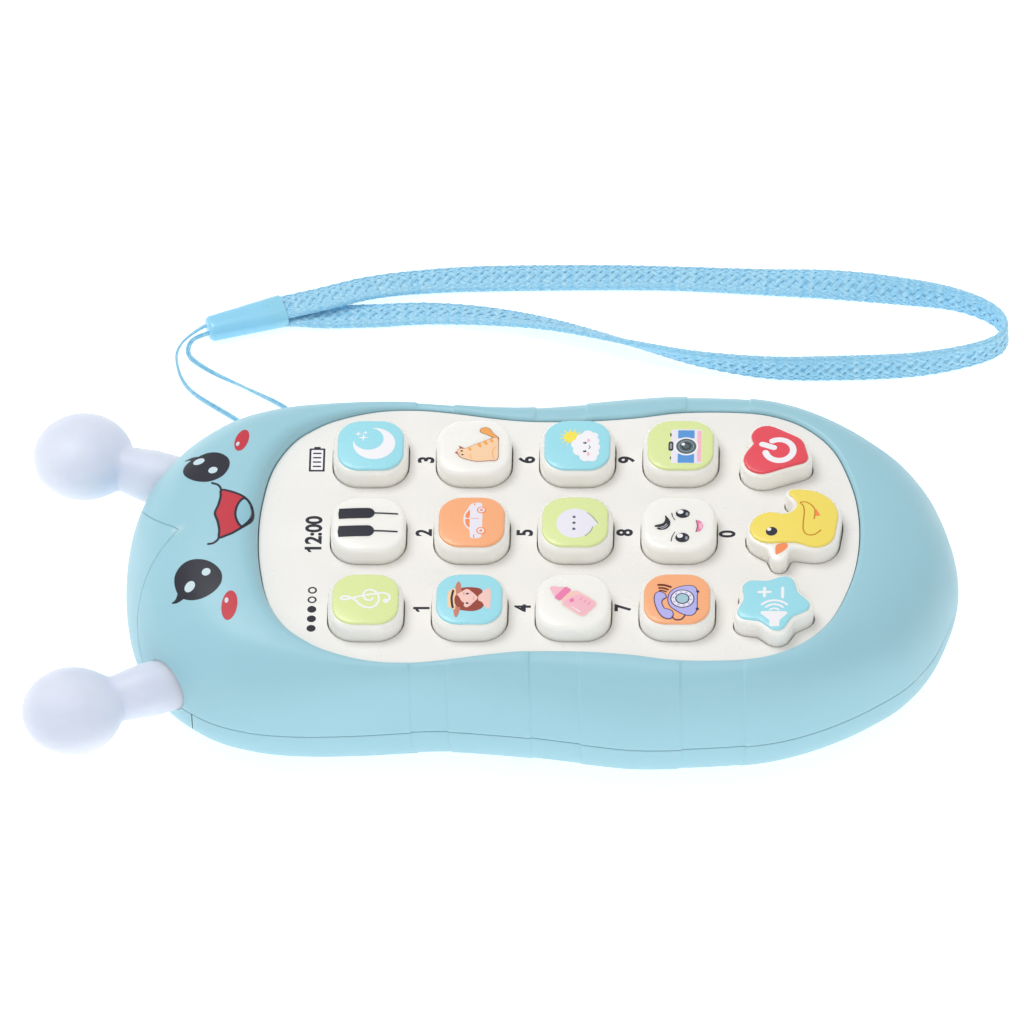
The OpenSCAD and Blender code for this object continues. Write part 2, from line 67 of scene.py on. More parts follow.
# one side of the body from head to tail: parting x, parting half-width, plate x, plate half-width, crown height
SIDE = [(-67, 0, -42.5, 0, 32), (-65.3, 14, -42, 8, 31.9), (-60.2, 24.2, -40.3, 16.3, 31.5),
    (-52.5, 31.2, -36.8, 22.9, 30.9), (-44.2, 34.5, -32.5, 26.7, 30.2), (-35, 35.6, -28, 29, 29.6),
    (-24, 35.4, -21.5, 30.8, 29.1), (-14.5, 34.7, -14.5, 31.2, 28.9), (-7.2, 34.5, -7.2, 30.4, 28.9),
    (0.5, 35.2, 0.5, 29.1, 28.9), (7.3, 36, 7.3, 28.4, 28.9), (17, 37.6, 17, 28.5, 28.9), (26, 38.9, 26, 29.3, 28.9),
    (34.8, 38.9, 34.8, 30.6, 28.9), (47, 38, 47, 30.4, 28.9), (55, 36.3, 54, 28.4, 28.9),
    (63, 32.9, 58.8, 25.1, 28.9), (70.5, 28.2, 62.2, 21, 28.9), (77, 22.4, 64.6, 15.6, 28.9),
    (82, 13.5, 66.6, 8.3, 28.9), (85, 0, 67.3, 0, 28.9)]
RIM = np.array(SIDE + [(x, -y, u, -v, z) for x, y, u, v, z in SIDE[19:0:-1]], float)
BANDS = (7, 10, 13, 26, 29, 32)   # rim segments that are sunk


# ---------------- small helpers
def mix(a, b, k):
    return a + (b - a) * k


def circle(angle):
    """Cosine and sine of an angle in degrees."""
    return cos(radians(angle)), sin(radians(angle))


def add_object(name, data):
    """A new object that holds the data, linked to the scene."""
    obj = bpy.data.objects.new(name, data)
    bpy.context.scene.collection.objects.link(obj)
    return obj


def aimed(direction):
    """Rotation that looks along a direction, as lamps and cameras do."""
    return direction.to_track_quat("-Z", "Y")


def sockets(node, values):
    """Sets a node's own sockets to plain values."""
    for name, value in values.items():
        node.inputs[name].default_value = value


# ---------------- shader nodes
def srgb(r, g, b, a=1.0):
    """Linear colour of an sRGB triple from 0 to 255."""
    return tuple((c / 255 / 12.92) if c <= 10 else ((c / 255 + 0.055) / 1.055) ** 2.4 for c in (r, g, b)) + (a,)


def fresh(name):
    mat = bpy.data.materials.new(name)
    mat.use_nodes = True
    nt = mat.node_tree
    return mat, nt, nt.nodes["Principled BSDF"]


def noise_node(nt, scale, detail=3.0, rough=0.5, vector=None):
    n = nt.nodes.new("ShaderNodeTexNoise")
    sockets(n, {"Scale": scale, "Detail": detail, "Roughness": rough})
    if vector is None:
        vector = nt.nodes.new("ShaderNodeTexCoord").outputs["Object"]
    nt.links.new(vector, n.inputs["Vector"])
    return n.outputs["Fac"]


def ramp_node(nt, fac, stops):
    r = nt.nodes.new("ShaderNodeValToRGB")
    while len(r.color_ramp.elements) < len(stops):
        r.color_ramp.elements.new(0.5)
    for e, (at, colour) in zip(r.color_ramp.elements, stops):
        e.position, e.color = at, colour
    nt.links.new(fac, r.inputs["Fac"])
    return r.outputs["Color"]


def range_node(nt, fac, low, high):
    m = nt.nodes.new("ShaderNodeMapRange")
    sockets(m, {"From Min": 0.3, "From Max": 0.7, "To Min": low, "To Max": high})
    nt.links.new(fac, m.inputs["Value"])
    return m.outputs["Result"]


def bump_node(nt, bsdf, height, depth, strength=1.0):
    b = nt.nodes.new("ShaderNodeBump")
    sockets(b, {"Distance": depth, "Strength": strength})
    nt.links.new(height, b.inputs["Height"])
    nt.links.new(b.outputs["Normal"], bsdf.inputs["Normal"])


def shade(colour, k):
    return tuple(min(1.0, c * k) for c in colour[:3]) + (1.0,)


# ---------------- camera, light and floor
SENSOR = 36              # width of the camera's sensor, millimetres
FLOOR_HALF = 3.0         # half the floor's side, metres


def add_camera(target, elevation, yaw, roll, distance, width):
    """Long-lens camera aimed at a point that is distance away, with a picture width metres wide there."""
    cam = add_object("camera", bpy.data.cameras.new("camera"))
    e, a = radians(elevation), radians(yaw)
    back = Vector((sin(a) * cos(e), -cos(a) * cos(e), sin(e)))
    cam.location = Vector(target) + back * distance
    cam.rotation_mode = "QUATERNION"
    cam.rotation_quaternion = aimed(-back) @ Matrix.Rotation(radians(roll), 3, "Z").to_quaternion()
    cam.data.sensor_width = SENSOR
    cam.data.lens = SENSOR * distance / width
    cam.data.clip_start, cam.data.clip_end = 0.05, 10
    bpy.context.scene.camera = cam


def add_area(name, at, size, power):
    """Round soft lamp that points at the origin."""
    lamp = bpy.data.lights.new(name, "AREA")
    lamp.shape = "DISK"
    lamp.size, lamp.energy = size, power
    obj = add_object(name, lamp)
    obj.location = at
    obj.rotation_mode = "QUATERNION"
    obj.rotation_quaternion = aimed(-Vector(at))


def add_floor():
    h, z = FLOOR_HALF, -1e-5
    mesh = bpy.data.meshes.new("floor")
    mesh.from_pydata([(-h, -h, z), (h, -h, z), (h, h, z), (-h, h, z)], [], [(0, 1, 2, 3)])
    floor = add_object("floor", mesh)
    mat, nt, bsdf = fresh("floor")
    sockets(bsdf, {"Roughness": 0.9, "Specular IOR Level": 0.1, "Emission Strength": 0.6,
        "Emission Color": (1, 1, 1, 1)})
    noise = nt.nodes.new("ShaderNodeTexNoise")
    noise.inputs["Scale"].default_value = 8
    tint = ramp_node(nt, noise.outputs["Fac"], [(0.0, (0.77, 0.77, 0.77, 1)), (1.0, (0.79, 0.79, 0.79, 1))])
    nt.links.new(tint, bsdf.inputs["Base Color"])
    mesh.materials.append(mat)


def add_world(strength):
    world = bpy.data.worlds.new("world")
    bpy.context.scene.world = world
    world.use_nodes = True
    sockets(world.node_tree.nodes["Background"], {"Color": (1, 1, 1, 1), "Strength": strength})


add_camera((0.0031, 0.0183, 0.0146), 47.7, 2.8, -2.1, 5.0, 0.1874)
add_area("key_light", (-0.35, 0.3, 0.9), 0.6, 4.2)
add_area("fill_light", (0.15, -1.0, 0.45), 0.8, 1.5)
add_world(0.6)
add_floor()
bpy.context.scene.view_settings.view_transform = "Standard"


# ---------------- materials
def plastic(name, colour, rough=0.35, tone=0.04, grain=0.4, grain_depth=4e-6, coat=0.0, soft=0.0, edge=0.0,
        specular=0.5):
    """Moulded plastic: slow colour change, uneven gloss, fine moulded grain, and with edge a painted highlight that
    lightens sharp convex edges towards white.
    """
    mat, nt, bsdf = fresh(name)
    slow = noise_node(nt, 45, 4, 0.6)
    tint = ramp_node(nt, slow, [(0.25, shade(colour, 1 - tone)), (0.75, shade(colour, 1 + tone * 0.6))])
    if edge:
        # painted highlight: by pointiness, sharp convex edges are mixed towards white, by up to edge
        point = nt.nodes.new("ShaderNodeNewGeometry").outputs["Pointiness"]
        painted_edge_highlight = ramp_node(nt, point, [(0.52, (0, 0, 0, 1)), (0.62, (edge, edge, edge, 1))])
        mix = nt.nodes.new("ShaderNodeMix")
        mix.data_type = "RGBA"
        nt.links.new(painted_edge_highlight, mix.inputs["Factor"])
        nt.links.new(tint, mix.inputs["A"])
        mix.inputs["B"].default_value = (1, 1, 1, 1)
        tint = mix.outputs["Result"]
    nt.links.new(tint, bsdf.inputs["Base Color"])
    smear = noise_node(nt, 160, 5, 0.65)
    nt.links.new(range_node(nt, smear, rough - 0.05, rough + 0.06), bsdf.inputs["Roughness"])
    bump_node(nt, bsdf, noise_node(nt, 3200, 2, 0.5), grain_depth, grain)
    sockets(bsdf, {"Specular IOR Level": specular, "Coat Weight": coat, "Coat Roughness": 0.12,
        "Subsurface Weight": soft, "Subsurface Radius": (0.9, 0.9, 1.0), "Subsurface Scale": 0.0015})
    return mat


def metal(name, colour, rough):
    mat, nt, bsdf = fresh(name)
    tint = ramp_node(nt, noise_node(nt, 900, 4, 0.7), [(0.3, shade(colour, 0.82)), (0.7, shade(colour, 1.05))])
    nt.links.new(tint, bsdf.inputs["Base Color"])
    nt.links.new(range_node(nt, noise_node(nt, 2500, 3, 0.6), rough - 0.08, rough + 0.1), bsdf.inputs["Roughness"])
    bump_node(nt, bsdf, noise_node(nt, 5000, 2, 0.5), 3e-6, 0.5)
    bsdf.inputs["Metallic"].default_value = 1.0
    return mat


# edge= gives the housing, plate and key plastics a painted highlight on their sharp convex edges
HOUSING = plastic("housing_plastic", srgb(158, 206, 220), 0.42, 0.025, 0.5, 5e-6, edge=0.16, soft=0.1)
DOOR = plastic("door_plastic", srgb(158, 206, 220), 0.42, 0.025, 0.5, 5e-6, soft=0.1)
PLATE = plastic("plate_plastic", srgb(243, 241, 237), 0.3, 0.012, 0.25, 3e-6, coat=0.15, edge=0.2)
CREAM = plastic("key_plastic", srgb(253, 250, 242), 0.24, 0.012, 0.2, 2e-6, coat=0.35, soft=0.5, edge=0.2)
SKIN_LOOKS = [("cyan", (158, 226, 240), 0.26, 0.02, 0.3), ("green", (225, 239, 164), 0.26, 0.02, 0.3),
    ("orange", (255, 178, 126), 0.26, 0.02, 0.3), ("red", (236, 72, 88), 0.24, 0.03, 0.4),
    ("yellow", (250, 227, 98), 0.26, 0.025, 0.3)]
SKINS = {name: plastic("skin_" + name, srgb(*colour), rough, tone, 0.3, 2e-6, coat=coat)
         for name, colour, rough, tone, coat in SKIN_LOOKS}
PAINT_COLOURS = [("ink", (44, 45, 56)), ("white", (247, 246, 250)), ("lilac_white", (238, 235, 246)),
    ("body_blue", (150, 200, 216)), ("highlight", (205, 226, 234)), ("cheek", (200, 58, 72)),
    ("pink", (250, 190, 205)), ("rose", (240, 130, 178)), ("peach", (252, 212, 172)), ("amber", (246, 172, 92)),
    ("orange", (252, 146, 92)), ("sun", (250, 232, 92)), ("blue", (92, 156, 222)), ("slate", (86, 104, 110)),
    ("grey", (150, 160, 168)), ("brown", (158, 72, 58)), ("straw", (206, 132, 112)), ("skin", (250, 205, 196)),
    ("lilac", (184, 182, 240)), ("plum", (74, 52, 96)), ("wine", (96, 26, 24)), ("wing", (206, 140, 44)),
    ("dial", (168, 204, 216))]
PAINTS = {name: plastic("print_" + name, srgb(*colour), 0.4, 0.03, 0.35, 2e-6, specular=0.25)
          for name, colour in PAINT_COLOURS}
RUBBER = plastic("keypad_rubber", srgb(186, 189, 194), 0.6, 0.05, 0.6, 8e-6)
BLACK = plastic("black_plastic", srgb(44, 44, 48), 0.5, 0.08, 0.6, 8e-6)
RED_WIRE = plastic("wire_red", srgb(205, 50, 40), 0.4, 0.05)
BLACK_WIRE = plastic("wire_black", srgb(40, 40, 44), 0.4, 0.05)
STEEL = metal("steel", (0.62, 0.63, 0.65, 1), 0.28)


def board_material():
    """Green solder mask with copper tracks showing through as a lighter grid of lines."""
    mat, nt, bsdf = fresh("circuit_board")
    where = nt.nodes.new("ShaderNodeTexCoord").outputs["Object"]
    bricks = nt.nodes.new("ShaderNodeTexBrick")
    nt.links.new(where, bricks.inputs["Vector"])
    sockets(bricks, {"Scale": 260, "Mortar Size": 0.035, "Color1": srgb(20, 92, 52), "Color2": srgb(24, 102, 58),
        "Mortar": srgb(64, 140, 78)})
    nt.links.new(bricks.outputs["Color"], bsdf.inputs["Base Color"])
    nt.links.new(range_node(nt, noise_node(nt, 400), 0.22, 0.36), bsdf.inputs["Roughness"])
    bump_node(nt, bsdf, bricks.outputs["Fac"], 2e-5, 0.5)
    return mat


CAN_HALF = 0.0225        # half the length of a battery, metres


def battery_material(bay_middle):
    """Printed steel can: copper-coloured end, dark sleeve, bare steel rim at both ends."""
    mat, nt, bsdf = fresh("battery_can")
    where = nt.nodes.new("ShaderNodeTexCoord").outputs["Object"]
    split = nt.nodes.new("ShaderNodeSeparateXYZ")
    nt.links.new(where, split.inputs["Vector"])
    along = nt.nodes.new("ShaderNodeMapRange")
    sockets(along, {"From Min": bay_middle - CAN_HALF, "From Max": bay_middle + CAN_HALF})
    nt.links.new(split.outputs["X"], along.inputs["Value"])
    steel, dark, copper = (0.55, 0.56, 0.58, 1), srgb(40, 42, 48), srgb(205, 134, 70)
    tint = ramp_node(nt, along.outputs["Result"], [(0.0, steel), (0.04, copper), (0.32, dark), (0.96, steel)])
    nt.nodes[-1].color_ramp.interpolation = "CONSTANT"
    nt.links.new(tint, bsdf.inputs["Base Color"])
    nt.links.new(range_node(nt, noise_node(nt, 700), 0.2, 0.34), bsdf.inputs["Roughness"])
    bsdf.inputs["Metallic"].default_value = 0.7
    return mat


def silicone():
    """Milky translucent silicone with a faint lilac cast and a dusty, soft surface."""
    mat, nt, bsdf = fresh("silicone")
    tint = ramp_node(nt, noise_node(nt, 60, 4, 0.6), [(0.3, srgb(209, 215, 230)), (0.7, srgb(221, 226, 237))])
    nt.links.new(tint, bsdf.inputs["Base Color"])
    nt.links.new(range_node(nt, noise_node(nt, 300, 4, 0.6), 0.42, 0.58), bsdf.inputs["Roughness"])
    bump_node(nt, bsdf, noise_node(nt, 2600, 3, 0.6), 6e-6, 0.5)
    sockets(bsdf, {"Subsurface Weight": 1.0, "Subsurface Radius": (0.9, 0.95, 1.0), "Subsurface Scale": 0.006,
        "Coat Weight": 0.08, "Coat Roughness": 0.35})
    return mat


def yarn(name, dark, light, pitch, sheen):
    """Fine fibres that run along the strand, by the mesh's own lengthwise UV map."""
    mat, nt, bsdf = fresh(name)
    uv = nt.nodes.new("ShaderNodeUVMap")
    uv.uv_map = "along"
    stretch = nt.nodes.new("ShaderNodeMapping")
    stretch.inputs["Scale"].default_value = (pitch[0], pitch[1], 1)
    nt.links.new(uv.outputs["UV"], stretch.inputs["Vector"])
    fibres = noise_node(nt, 1.0, 2, 0.6, stretch.outputs["Vector"])
    tint = ramp_node(nt, fibres, [(0.32, dark), (0.68, light)])
    nt.links.new(tint, bsdf.inputs["Base Color"])
    nt.links.new(range_node(nt, fibres, 0.62, 0.42), bsdf.inputs["Roughness"])
    bump_node(nt, bsdf, fibres, 6e-5, 0.7)
    sockets(bsdf, {"Sheen Weight": sheen, "Sheen Roughness": 0.4})
    return mat


BOARD = board_material()
BATTERY = battery_material(-0.01325)
SILICONE = silicone()
# edge= gives the sleeve a painted highlight on its sharp convex edges
SLEEVE = plastic("sleeve_plastic", srgb(148, 216, 246), 0.3, 0.03, 0.3, 3e-6, coat=0.3, soft=0.35, edge=0.15)
STRAP = yarn("strap_yarn", srgb(126, 200, 238), srgb(188, 232, 250), (9, 900), 0.25)
CORD = yarn("cord_yarn", srgb(118, 190, 226), srgb(170, 222, 244), (6, 900), 0.2)


# ---------------- mesh helpers
def link_mesh(name, verts, faces, unit=MM):
    mesh = bpy.data.meshes.new(name)
    mesh.from_pydata([Vector(v) * unit for v in verts], [], [tuple(int(i) for i in f) for f in faces])
    mesh.validate()
    return add_object(name, mesh)


def tidy(obj, weld=0.0):
    """Welds what meets and turns every face of a closed mesh outwards."""
    bm = bmesh.new()
    bm.from_mesh(obj.data)
    if weld:
        bmesh.ops.remove_doubles(bm, verts=bm.verts, dist=weld * MM)
    bmesh.ops.recalc_face_normals(bm, faces=bm.faces)
    bm.to_mesh(obj.data)
    bm.free()


def apply_modifiers(obj):
    graph = bpy.context.evaluated_depsgraph_get()
    mesh = bpy.data.meshes.new_from_object(obj.evaluated_get(graph))
    old = obj.data
    obj.modifiers.clear()
    obj.data = mesh
    bpy.data.meshes.remove(old)


def boolean(obj, tools, operation="DIFFERENCE"):
    for tool in tools:
        m = obj.modifiers.new("cut", "BOOLEAN")
        m.operation, m.object, m.solver = operation, tool, "MANIFOLD"
        apply_modifiers(obj)
        bpy.data.objects.remove(tool)


def finish_piece(obj, material, body="phone", replaces=(), angle=35, weighted=False):
    if material is not None:
        obj.data.materials.clear()
        obj.data.materials.append(material)
    obj.data.shade_smooth()
    obj.data.set_sharp_from_angle(angle=radians(angle))
    if weighted:
        m = obj.modifiers.new("normals", "WEIGHTED_NORMAL")
        m.keep_sharp = True
        m.weight = 100
    if replaces:
        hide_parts(*replaces)
    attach(obj, body)
    return obj


def grid_faces(rows, columns, first=0, wrap_rows=False):
    """Quads over a grid of points whose columns close on themselves."""
    faces = []
    for i in range(rows if wrap_rows else rows - 1):
        i2 = (i + 1) % rows
        for j in range(columns):
            j2 = (j + 1) % columns
            faces.append((first + i * columns + j, first + i * columns + j2, first + i2 * columns + j2,
                first + i2 * columns + j))
    return faces


def loft(name, rings):
    """Closed solid through a list of rings of equal length, with flat ends."""
    n, m = len(rings[0]), len(rings)
    verts = [p for ring in rings for p in ring]
    faces = grid_faces(m, n) + [tuple(range(n))[::-1], tuple(range((m - 1) * n, m * n))]
    obj = link_mesh(name, verts, faces)
    tidy(obj)
    return obj


def cylinder(radius, start, end, sides=40, radius2=None):
    a, b = Vector(start), Vector(end)
    t = (b - a).normalized()
    u = t.orthogonal().normalized()
    v = t.cross(u)
    turn = [(cos(2 * pi * i / sides), sin(2 * pi * i / sides)) for i in range(sides)]
    r2 = radius if radius2 is None else radius2
    return loft("tool", [[a + radius * (c * u + s * v) for c, s in turn],
        [b + r2 * (c * u + s * v) for c, s in turn]])


def block(low, high):
    (a, b, c), (d, e, f) = low, high
    return loft("tool", [[(a, b, c), (d, b, c), (d, e, c), (a, e, c)], [(a, b, f), (d, b, f), (d, e, f), (a, e, f)]])


def between(a, b, c, d, k):
    """Catmull-Rom point between b and c, k of the way along."""
    return 0.5 * (2 * b + (c - a) * k + (2 * a - 5 * b + 4 * c - d) * k * k + (3 * b - a - 3 * c + d) * k ** 3)


def spline(q, i, k):
    """Point of a smooth open line, k of the way from point i to point i + 1."""
    a, b, c, d = q[max(i - 1, 0)], q[i], q[min(i + 1, len(q) - 1)], q[min(i + 2, len(q) - 1)]
    return between(a, b, c, d, k)


def smooth_route(points, steps):
    q = np.array(points, float)
    return np.array([spline(q, i, s / steps) for i in range(len(q) - 1) for s in range(steps)] + [q[-1]])


# ---------------- the two housings
def rim_at(t):
    i, k = int(floor(t)), t - floor(t)
    return between(*(RIM[(i + j) % len(RIM)] for j in (-1, 0, 1, 2)), k)


BAND_EDGE = 0.055        # share of a rim segment that a band's step takes


def sunk(t):
    """Depth of the band at a station, with a short smooth step at both of its edges."""
    i = int(floor(t + 1e-9)) % len(RIM)
    if i not in BANDS:
        return 0.0
    k = t - floor(t + 1e-9)
    s = min(1.0, max(0.0, min(k, 1 - k) / BAND_EDGE))
    return BAND_DEPTH * s * s * (3 - 2 * s)


def stations():
    """Places along the rim where the body's sections are made, closer together at the bands' edges."""
    plain = [k / 8 for k in range(8)]
    step = [BAND_EDGE * k for k in (0, 0.2, 0.4, 0.6, 0.8, 1.0)]
    banded = step + [0.2, 0.35, 0.5, 0.65, 0.8] + [1 - k for k in step[:0:-1]]
    return [i + k for i in range(len(RIM)) for k in (banded if i in BANDS else plain)]


STATIONS = stations()
CROWN_Z = 28.9           # height of the crown beside the plate, away from the head
BOW = 2 / 2.3            # exponent of the superellipse sections
LIP = 0.1                # how far the lip's edge stands over the face plate


def bow_out(a):
    return max(cos(radians(a)), 0.0) ** BOW


def bow_up(a):
    return sin(radians(a)) ** BOW


def frame_at(t):
    """Rim row, plate edge point, and direction from it straight out to the parting line."""
    r = rim_at(t)
    p = r[2:4]
    d = r[:2] - p
    return r, p, d / np.linalg.norm(d)


def front_section(t):
    r, p, d = frame_at(t)
    depth = sunk(t)
    b, b_in = r[:2] - depth * d, r[:2] - (WALL + 0.2) * d
    rise = r[4] - CROWN_Z
    crown_z = r[4] - depth
    crown, crown_in, ledge = p + (0.9 + 0.9 * rise) * d, p + (1.2 + 0.6 * rise) * d, p - 0.6 * d
    ledge_z, under_z = PLATE_Z - PLATE_T, PLATE_Z - PLATE_T - 1.6
    out = [(*(b - 0.3 * d), PART_Z + PART_GAP), (*(b - 0.1 * d), PART_Z + 0.12), (*b, PART_Z + 0.34)]
    for a in (3, 7, 12, 17, 22, 27, 32, 37, 42, 47, 52, 56, 60, 64, 67, 70, 73, 76, 79, 82, 85, 87.5, 90):
        out.append((*mix(crown, b, bow_out(a)), mix(PART_Z, crown_z, bow_up(a))))
    top = PLATE_Z + LIP
    for a in (8, 16, 24, 33, 42, 51, 60, 70, 80, 90):
        c, s = circle(a)
        out.append((*mix(crown, p, s), top + (crown_z - top) * c))
    out += [(*p, ledge_z), (*ledge, ledge_z), (*ledge, under_z), (*crown_in, under_z)]
    for a in (80, 60, 40, 20, 0):
        out.append((*mix(crown_in, b_in, bow_out(a)), mix(PART_Z + PART_GAP, crown_z - WALL, bow_up(a))))
    return out


def flat_of(p):
    return np.array([10 + (p[0] - 10) * 0.8, p[1] * 0.56])


def rear_outside(t):
    r, _, d = frame_at(t)
    b, f = r[:2] - sunk(t) * d, flat_of(r[:2])
    out = [(*mix(f, b, bow_out(a)), PART_Z * (1 - bow_up(a))) for a in range(90, 3, -6)]
    return out + [(*b, PART_Z - 0.34), (*(b - 0.1 * d), PART_Z - 0.12), (*(b - 0.3 * d), PART_Z - PART_GAP)]


def rear_inside(t):
    r, _, d = frame_at(t)
    b = r[:2] - (WALL + 0.2) * d
    f = flat_of(b)
    top = PART_Z - PART_GAP
    return [(*mix(f, b, bow_out(a)), top - (top - WALL) * bow_up(a)) for a in (0, 20, 40, 60, 75, 90)]


def front_solid(name):
    rings = [front_section(t) for t in STATIONS]
    n = len(rings[0])
    obj = link_mesh(name, [p for r in rings for p in r], grid_faces(len(rings), n, wrap_rows=True))
    tidy(obj)
    return obj


def rear_solid(name):
    rings = [rear_outside(t) + rear_inside(t) for t in STATIONS]
    return loft(name, [list(ring) for ring in zip(*rings)])


# outline of the separate piece on the head's front, seen square to its slope: along the slope, half-width
CAP_HALF = [(-19, 0), (-20.4, 1.4), (-22.2, 3), (-24.8, 5.6), (-28.2, 9.6), (-31.4, 14), (-34, 18.4), (-35.6, 22)]
UNDER_X = -54.2          # the cap's lower part reaches back to here below the parting line


def slope_point(w, y, out):
    """Point from the cap's own slanted frame: along the slope, across, and out of the head."""
    k = sqrt(0.5)
    return ((w - out) * k, y, (w + out) * k)


def cap_outline(grow):
    half = smooth_route(CAP_HALF[1:], 4)
    half = [(w + grow, y + grow * 0.6) for w, y in half]
    tip = (CAP_HALF[0][0] + grow * 1.4, 0)
    return [tip] + half + [(-60, 24), (-60, -24)] + [(w, -y) for w, y in half[::-1]]


def cap_tool(grow):
    line = cap_outline(grow)
    return loft("tool", [[slope_point(w, y, out) for w, y in line] for out in (20, 70)])


def seam_groove(shell):
    """V-shaped groove tool that follows the cap's seam over the outer surface."""
    tree = BVHTree.FromObject(shell, bpy.context.evaluated_depsgraph_get())
    half = smooth_route(CAP_HALF[1:], 12)
    path = [(w, y) for w, y in half[::-1]] + [CAP_HALF[0]] + [(w, -y) for w, y in half]
    start = Vector(slope_point(0, 0, 1))
    rings = []
    for w, y in path:
        origin = Vector(slope_point(w, y, 70)) * MM
        hit, normal, _, _ = tree.ray_cast(origin, -start)
        if hit is not None and hit.z > PART_Z * MM:
            rings.append((hit / MM, normal))
    out = []
    for i, (p, n) in enumerate(rings):
        t = (rings[min(i + 1, len(rings) - 1)][0] - rings[max(i - 1, 0)][0]).normalized()
        side = t.cross(n).normalized()
        out.append([p + n * 0.3 + side * 0.42, p + n * 0.3 - side * 0.42, p - n * 0.1 - side * 0.12,
            p - n * 0.1 + side * 0.12])
    return loft("tool", out)


# antenna axis: root inside the head, runs out and forward to the ball
ROOT = (-60.4, 25.4, 15.4)
SPLAY = 21.0
NECK_R = 4.9
NECK_FILLET = 1.1


def antenna_point(side, s, across=0.0, up=0.0):
    """Point s along the antenna's axis from its root, offset across and up."""
    a = radians(SPLAY)
    axis = Vector((-cos(a), side * sin(a), 0))
    cross = Vector((sin(a), side * cos(a), 0))
    return Vector((ROOT[0], side * ROOT[1], ROOT[2])) + axis * s + cross * across + UP * up


def antenna_bore(side):
    return cylinder(NECK_R + 0.08, antenna_point(side, -9), antenna_point(side, 15), 64)


def make_antenna(side, name):
    """Soft hollow-looking horn: flared neck that runs into a flattened ball."""
    ball_r, ball_h, ball_s, turns = 9.2, 6.4, 16.49, 72
    rings = []
    for s in [-8.8, -8.7, -7.6, -7.4, -7.2, *np.linspace(-6, 6, 9), *np.linspace(6.5, 25.63, 60)]:
        if s < -7.4:
            w = h = 6.2 if s > -8.75 and s < -7.5 else 5.9
        else:
            neck = 4.15 + 0.75 * (1 - min(1, max(0, (s - 3.5) / 6.0))) ** 1.5
            k = (s - ball_s) / ball_r
            w, h = (size * sqrt(max(1 - k * k, 0.0)) for size in (ball_r, ball_h))
            if s <= ball_s:
                w, h = blend_max(neck, w, NECK_FILLET), blend_max(neck, h, NECK_FILLET)
        w, h = max(w, 0.02), max(h, 0.02)
        rings.append([antenna_point(side, s, w * cos(a), h * sin(a)) for a in (2 * pi * i / turns
            for i in range(turns))])
    finish_piece(loft(name, rings), SILICONE, "phone", (name.replace("horn", "antenna"),), 60)


def blend_max(a, b, k):
    """Larger of two lengths, with a fillet of about k where they cross."""
    h = max(k - abs(a - b), 0.0) / k
    return max(a, b) + h * h * k * 0.25


CASE_AT = [(-36.5, 25), (-36.5, -25), (6, 26.8), (6, -26.8), (65.5, 18), (65.5, -18)]
SPEAKER_AT = (46, 0)
BAY = (-38.5, 12)
BAY_HALF = 11.4
TAB_Y = 7                # the door's two tabs lie this far from the middle
DOOR_SCREW_X = 15.6


def make_front():
    shell = front_solid("front_shell")
    boolean(shell, [seam_groove(shell)])
    cap = shell.copy()
    cap.data = shell.data.copy()
    cap.name = "head_front"
    bpy.context.scene.collection.objects.link(cap)
    boolean(shell, [cap_tool(0.025)])
    for x, y in CASE_AT:
        boolean(shell, [cylinder(2.8, (x, y, PART_Z), (x, y, PART_Z + (9.8 if x == 6 else 12.4)))], "UNION")
    boolean(shell, [cylinder(1.32, (x, y, PART_Z - 1), (x, y, PART_Z + 8)) for x, y in CASE_AT])
    boolean(shell, [antenna_bore(1), antenna_bore(-1)])
    finish_piece(shell, HOUSING, "phone", ("front_housing",), 38, weighted=True)
    boolean(cap, [cap_tool(-0.025)], "INTERSECT")
    under = rear_solid("under")
    boolean(under, [block((-90, -50, -2), (UNDER_X - 0.08, 50, PART_Z + 1))], "INTERSECT")
    bm = bmesh.new()
    bm.from_mesh(cap.data)
    bm.from_mesh(under.data)
    bm.to_mesh(cap.data)
    bm.free()
    bpy.data.objects.remove(under)
    boolean(cap, [antenna_bore(1), antenna_bore(-1)])
    finish_piece(cap, HOUSING, "phone", ("head_cap",), 38, weighted=True)
    return shell, cap


def grille_points():
    out = [(0.0, 0.0)]
    for k in range(6):
        for j in (1, 2):
            for i in range(j):
                a = radians(60 * k + (30 * i if j == 2 else 0))
                r = 3.2 * j * (0.866 if i else 1)
                out.append((r * cos(a), r * sin(a)))
    return out


